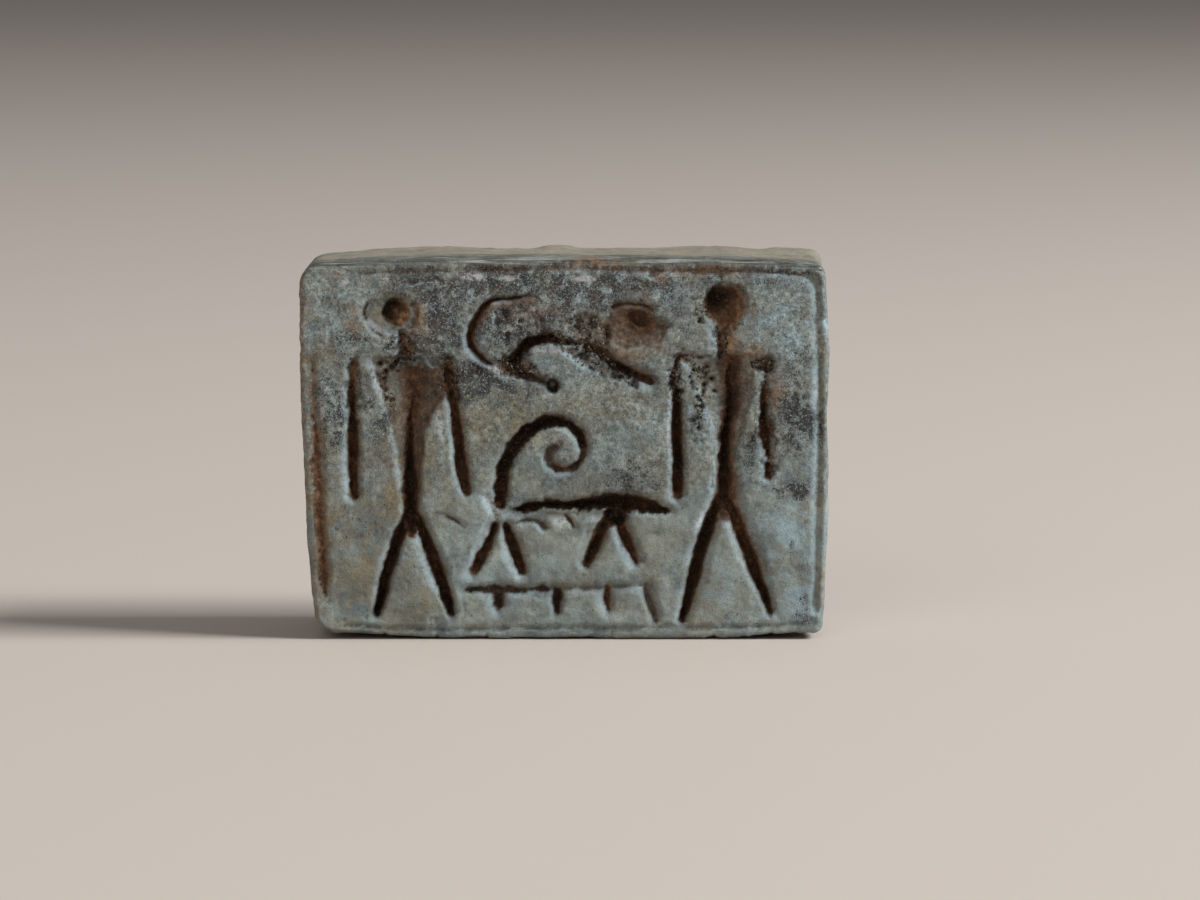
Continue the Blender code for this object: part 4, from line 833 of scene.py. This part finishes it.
def srgb(r, g, b):
    def lin(c):
        c /= 255
        return c / 12.92 if c <= 0.04045 else ((c + 0.055) / 1.055) ** 2.4
    return (lin(r), lin(g), lin(b), 1.0)


class Graph:
    def __init__(self, tree):
        self.tree = tree
        self.nodes, self.links = tree.nodes, tree.links
        coords = self.nodes.new("ShaderNodeTexCoord")
        scale = self.nodes.new("ShaderNodeMapping")
        scale.inputs["Scale"].default_value = (1000, 1000, 1000)
        self.links.new(coords.outputs["Object"], scale.inputs["Vector"])
        self.mm = scale.outputs["Vector"]

    def moved(self, scale=(1, 1, 1), offset=(0, 0, 0)):
        m = self.nodes.new("ShaderNodeMapping")
        m.inputs["Scale"].default_value = scale
        m.inputs["Location"].default_value = offset
        self.links.new(self.mm, m.inputs["Vector"])
        return m.outputs["Vector"]

    def noise(self, scale, detail=4, rough=0.55, distortion=0.0, vector=None):
        n = self.nodes.new("ShaderNodeTexNoise")
        n.inputs["Scale"].default_value = scale
        n.inputs["Detail"].default_value = detail
        n.inputs["Roughness"].default_value = rough
        n.inputs["Distortion"].default_value = distortion
        self.links.new(vector or self.mm, n.inputs["Vector"])
        return n.outputs["Fac"]

    def attr(self, name):
        n = self.nodes.new("ShaderNodeAttribute")
        n.attribute_name = name
        return n.outputs["Fac"]

    def put(self, socket, value):
        if isinstance(value, bpy.types.NodeSocket):
            self.links.new(value, socket)
        else:
            socket.default_value = value

    def math(self, op, a, b=0.0, clamp=False):
        n = self.nodes.new("ShaderNodeMath")
        n.operation = op
        n.use_clamp = clamp
        self.put(n.inputs[0], a)
        self.put(n.inputs[1], b)
        return n.outputs[0]

    def times(self, *values):
        total = values[0]
        for v in values[1:]:
            total = self.math("MULTIPLY", total, v)
        return total

    def ramp(self, value, low, high, out_low=0.0, out_high=1.0):
        n = self.nodes.new("ShaderNodeMapRange")
        n.interpolation_type = "SMOOTHSTEP"
        self.put(n.inputs["Value"], value)
        self.put(n.inputs["From Min"], low)
        self.put(n.inputs["From Max"], high)
        self.put(n.inputs["To Min"], out_low)
        self.put(n.inputs["To Max"], out_high)
        return n.outputs["Result"]

    def tones(self, value, stops):
        n = self.nodes.new("ShaderNodeValToRGB")
        elements = n.color_ramp.elements
        elements[0].position, elements[0].color = stops[0]
        elements[1].position, elements[1].color = stops[-1]
        for position, colour in stops[1:-1]:
            elements.new(position).color = colour
        self.put(n.inputs["Fac"], value)
        return n.outputs["Color"]

    def blend(self, fac, a, b):
        n = self.nodes.new("ShaderNodeMix")
        self.put(n.inputs[0], fac)
        self.put(n.inputs[2], a)
        self.put(n.inputs[3], b)
        return n.outputs[0]

    def mix(self, fac, a, b, mode="MIX"):
        n = self.nodes.new("ShaderNodeMix")
        n.data_type = "RGBA"
        n.blend_type = mode
        self.put(n.inputs[0], fac)
        self.put(n.inputs[6], a)
        self.put(n.inputs[7], b)
        return n.outputs[2]


def stone_material():
    mat = bpy.data.materials.new("worn_stone")
    mat.use_nodes = True
    shader = mat.node_tree.nodes["Principled BSDF"]
    g = Graph(mat.node_tree)
    dirt, lip, red, crumb, pit, halo, tan, beige = (g.attr(n) for n in ("dirt", "lip", "red", "crumb", "pit", "halo", "tan", "beige"))
    soot, blue, ochre, rust, pale = (g.attr(n) for n in ("soot", "blue", "ochre", "rust", "pale"))
    topside, rear, bore, upper, brown = (g.attr(n) for n in ("topside", "rear", "bore", "upper", "brown"))

    # Body of the stone: clouds of grey-green, each cloud with its own edge and grain.
    large = g.noise(0.55, 6, 0.6, 0.3)
    cloud = g.noise(1.5, 8, 0.68, 0.5)
    grain = g.noise(7.5, 6, 0.74)
    fine = g.noise(22, 4, 0.78)
    soft_cloud = g.noise(1.2, 3, 0.5, 0.5, vector=g.moved(offset=(7, 1, 3)))
    tone = g.math("ADD", g.math("MULTIPLY", large, 0.35), g.math("MULTIPLY", g.blend(upper, soft_cloud, cloud), 0.65))
    colour = g.tones(tone, [
        (0.40, srgb(84, 91, 90)), (0.46, srgb(106, 113, 110)), (0.50, srgb(119, 126, 121)), (0.55, srgb(133, 140, 133)), (0.61, srgb(150, 157, 151)),
    ])
    hue = g.noise(0.9, 6, 0.65, 0.4, vector=g.moved(offset=(31, 7, 13)))
    colour = g.mix(g.math("MULTIPLY", g.ramp(hue, 0.44, 0.60), 0.34), colour, srgb(130, 124, 100))
    colour = g.mix(g.math("MULTIPLY", g.ramp(hue, 0.50, 0.38), 0.40), colour, srgb(120, 133, 134))
    colour = g.mix(g.times(ochre, g.ramp(g.noise(1.9, 6, 0.66, 0.4), 0.38, 0.60), 0.80), colour, srgb(126, 110, 78))
    colour = g.mix(g.times(blue, g.ramp(g.noise(1.3, 6, 0.66, 0.4, vector=g.moved(offset=(3, 17, 5))), 0.36, 0.60), 0.92), colour, srgb(144, 164, 170))
    # Grain: light and dark crystals at two sizes.
    colour = g.mix(upper, colour, g.tones(grain, [(0.33, (0.34, 0.34, 0.34, 1)), (0.44, (0.73, 0.73, 0.72, 1)), (0.52, (1.01, 1.01, 1.01, 1)), (0.65, (1.60, 1.60, 1.55, 1))]), "MULTIPLY")
    colour = g.mix(upper, colour, g.tones(fine, [(0.28, (0.50, 0.50, 0.49, 1)), (0.50, (1.0, 1.0, 1.0, 1)), (0.72, (1.48, 1.49, 1.48, 1))]), "MULTIPLY")
    # Dark veil and pepper where the stone is sooty.
    clump = g.noise(2.2, 6, 0.66, 0.6, vector=g.moved(offset=(11, 2, 41)))
    sooty = g.times(soot, g.ramp(clump, 0.38, 0.58, 0.20, 1.25))
    colour = g.mix(g.math("MULTIPLY", sooty, 0.66), colour, srgb(62, 63, 64))
    level = g.ramp(sooty, 0.0, 1.0, 0.655, 0.485)
    coarse = g.ramp(g.noise(11, 4, 0.68, 0.3), level, g.math("ADD", level, 0.03))
    small = g.ramp(g.noise(23, 2, 0.6), g.math("SUBTRACT", level, 0.01), g.math("ADD", level, 0.025))
    pepper = g.math("MAXIMUM", coarse, small)
    colour = g.mix(g.math("MULTIPLY", pepper, 0.94), colour, srgb(26, 26, 27))
    salt = g.ramp(g.noise(15, 3, 0.65, vector=g.moved(offset=(5, 23, 9))), 0.595, 0.635)
    colour = g.mix(g.math("MULTIPLY", salt, g.ramp(soot, 0.0, 1.0, 0.10, 0.72)), colour, srgb(178, 184, 181))
    # Brown staining in the grain.
    stain = g.times(brown, g.ramp(g.noise(2.6, 6, 0.7, 0.4, vector=g.moved(offset=(71, 3, 8))), 0.42, 0.62), g.ramp(g.noise(9, 4, 0.7), 0.40, 0.58, 0.25, 1.0))
    colour = g.mix(g.math("MULTIPLY", stain, 0.70), colour, srgb(96, 74, 52))
    # Streaks on the ground top.
    streak = g.noise(1.0, 6, 0.68, vector=g.moved((0.34, 8.0, 11.0)))
    streaked = g.tones(streak, [(0.38, srgb(44, 40, 34)), (0.46, srgb(77, 74, 67)), (0.53, srgb(104, 103, 96)), (0.62, srgb(160, 158, 149))])
    colour = g.mix(g.times(g.ramp(topside, 0.08, 0.62), g.ramp(g.noise(1.4, 5, 0.65), 0.34, 0.56, 0.55, 0.95)), colour, streaked)
    colour = g.mix(g.times(rear, g.ramp(cloud, 0.38, 0.62, 0.42, 0.82)), colour, srgb(150, 135, 114))
    colour = g.mix(g.times(beige, g.ramp(g.noise(3.5, 5, 0.68), 0.36, 0.58, 0.35, 0.95)), colour, srgb(150, 146, 122))
    # Rust; pale chips and painted highlights; worn lips with a painted bluish highlight where they face the light.
    rusty = g.math("MULTIPLY", rust, g.ramp(g.noise(4.0, 5, 0.72), 0.38, 0.58))
    colour = g.mix(g.math("MULTIPLY", rusty, 0.80), colour, g.mix(g.ramp(grain, 0.4, 0.6), srgb(100, 67, 36), srgb(152, 108, 64)))
    colour = g.mix(g.times(lip, g.ramp(g.noise(5, 5, 0.7), 0.34, 0.56, 0.20, 0.85)), colour, srgb(160, 178, 184))
    colour = g.mix(g.times(pale, g.ramp(g.noise(6, 4, 0.68), 0.42, 0.50)), colour, g.mix(brown, srgb(188, 194, 196), srgb(152, 138, 134)))
    # Dirt: a brown stain beside the cuts with painted shade on the side away from the light, crumbs, dark pits, and
    # black-brown or reddish filling that is browner where painted light falls on it.
    grime = g.noise(8, 5, 0.7)
    colour = g.mix(g.times(halo, g.ramp(grime, 0.34, 0.62, 0.25, 0.85)), colour, srgb(74, 56, 40))
    colour = g.mix(g.times(crumb, g.ramp(grime, 0.44, 0.60), 0.70), colour, srgb(70, 54, 40))
    colour = g.mix(g.times(pit, 0.85), colour, srgb(30, 24, 19))
    earth = g.tones(g.noise(3.4, 6, 0.68), [(0.34, srgb(44, 30, 21)), (0.48, srgb(76, 52, 37)), (0.56, srgb(98, 70, 50)), (0.68, srgb(130, 98, 74))])
    black = g.tones(grime, [(0.34, srgb(14, 10, 6)), (0.54, srgb(30, 21, 13)), (0.68, srgb(68, 51, 36))])
    filth = g.mix(red, black, earth)
    dry = g.tones(g.noise(6, 5, 0.7), [(0.38, srgb(84, 58, 40)), (0.50, srgb(127, 92, 66)), (0.60, srgb(164, 129, 98))])
    filth = g.mix(g.math("MULTIPLY", tan, 0.85), filth, dry)
    covered = g.math("MULTIPLY", dirt, g.ramp(grime, 0.30, 0.50, 0.86, 1.12), True)
    fleck = g.ramp(g.noise(15, 3, 0.7, vector=g.moved(offset=(2, 5, 77))), 0.57, 0.64)
    filth = g.mix(g.math("MULTIPLY", fleck, 0.28), filth, srgb(128, 112, 90))
    colour = g.mix(covered, colour, filth)
    # Little holes and pale grit in the crumbly stone.
    hole = g.ramp(g.noise(8.5, 3, 0.55, vector=g.moved(offset=(9, 61, 4))), g.ramp(crumb, 0.0, 1.0, 0.72, 0.535), g.ramp(crumb, 0.0, 1.0, 0.745, 0.56))
    grit = g.ramp(g.noise(12, 3, 0.6, vector=g.moved(offset=(44, 6, 4))), g.ramp(crumb, 0.0, 1.0, 0.74, 0.56), g.ramp(crumb, 0.0, 1.0, 0.78, 0.62))
    colour = g.mix(g.math("MULTIPLY", grit, 0.75), colour, srgb(168, 166, 150))
    colour = g.mix(g.math("MULTIPLY", hole, 0.90), colour, srgb(24, 19, 15))
    colour = g.mix(g.math("MULTIPLY", bore, 0.7), colour, srgb(70, 58, 46))
    g.links.new(colour, shader.inputs["Base Color"])

    rough = g.ramp(g.noise(5, 4, 0.6), 0.3, 0.7, 0.46, 0.66)
    rough = g.math("SUBTRACT", rough, g.math("MULTIPLY", lip, 0.10))
    rough = g.math("ADD", rough, g.math("MULTIPLY", g.math("MAXIMUM", dirt, crumb), 0.25), True)
    g.links.new(rough, shader.inputs["Roughness"])
    g.links.new(g.blend(g.math("MAXIMUM", topside, dirt), 0.45, 0.08), shader.inputs["Specular IOR Level"])

    height = g.math("ADD", g.math("MULTIPLY", fine, 1.0), g.math("MULTIPLY", grain, 2.0))
    height = g.math("SUBTRACT", height, g.math("MULTIPLY", pepper, 0.6))
    height = g.math("SUBTRACT", height, g.math("MULTIPLY", hole, 3.0))
    height = g.math("ADD", height, g.math("MULTIPLY", grit, 1.0))
    height = g.math("ADD", height, g.times(topside, streak, 4.0))
    height = g.math("ADD", height, g.times(g.math("MAXIMUM", crumb, dirt), grime, 3.0))
    bump = g.nodes.new("ShaderNodeBump")
    bump.inputs["Strength"].default_value = 0.7
    bump.inputs["Distance"].default_value = 0.00003
    g.links.new(height, bump.inputs["Height"])
    g.links.new(bump.outputs["Normal"], shader.inputs["Normal"])
    return mat


mesh.materials.append(stone_material())
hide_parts("amulet_bead")
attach(bead, "root")


# --- floor, light, camera -------------------------------------------------------------------------

def plain(name, colour, rough):
    mat = bpy.data.materials.new(name)
    mat.use_nodes = True
    s = mat.node_tree.nodes["Principled BSDF"]
    s.inputs["Base Color"].default_value = colour
    s.inputs["Roughness"].default_value = rough
    return mat


floor_mesh = bpy.data.meshes.new("floor")
floor_mesh.from_pydata([(-3, -1.5, 0), (3, -1.5, 0), (3, 4.5, 0), (-3, 4.5, 0)], [], [(0, 1, 2, 3)])
floor = bpy.data.objects.new("floor", floor_mesh)
bpy.context.scene.collection.objects.link(floor)
floor_mesh.materials.append(plain("pale_floor", (0.50, 0.42, 0.36, 1.0), 0.55))


def soft_light(name, place, size, watts, colour, aim=(0, 0, 0.006)):
    data = bpy.data.lights.new(name, "AREA")
    data.shape = "SQUARE"
    data.size = size
    data.energy = watts
    data.color = colour
    obj = bpy.data.objects.new(name, data)
    obj.location = place
    obj.rotation_euler = (Vector(aim) - Vector(place)).to_track_quat("-Z", "Y").to_euler()
    bpy.context.scene.collection.objects.link(obj)


soft_light("key_window", (0.44, -0.09, 0.36), 0.24, 6.0, (0.88, 0.95, 1.0))
soft_light("fill_front", (-0.20, -0.60, 0.30), 0.45, 1.3, (1.0, 0.96, 0.90))
soft_light("top_soft", (0.0, 0.20, 0.60), 0.5, 0.35, (0.96, 0.98, 1.0))

world = bpy.data.worlds.new("studio")
bpy.context.scene.world = world
world.use_nodes = True
world.node_tree.nodes["Background"].inputs["Color"].default_value = (0.80, 0.80, 0.82, 1.0)
world.node_tree.nodes["Background"].inputs["Strength"].default_value = 0.20

camera_data = bpy.data.cameras.new("camera")
camera_data.sensor_fit = "HORIZONTAL"
camera_data.sensor_width = 36.0
camera_data.lens = 176.43
camera_data.clip_start = 0.005
camera_data.clip_end = 20.0
camera = bpy.data.objects.new("camera", camera_data)
camera.location = (1.11 * MM, (FACE_Y - 178.7) * MM, 23.5 * MM)
camera.rotation_euler = (math.radians(90 - 5.646), 0, 0)
bpy.context.scene.collection.objects.link(camera)
bpy.context.scene.camera = camera
bpy.context.scene.view_settings.view_transform = "Standard"
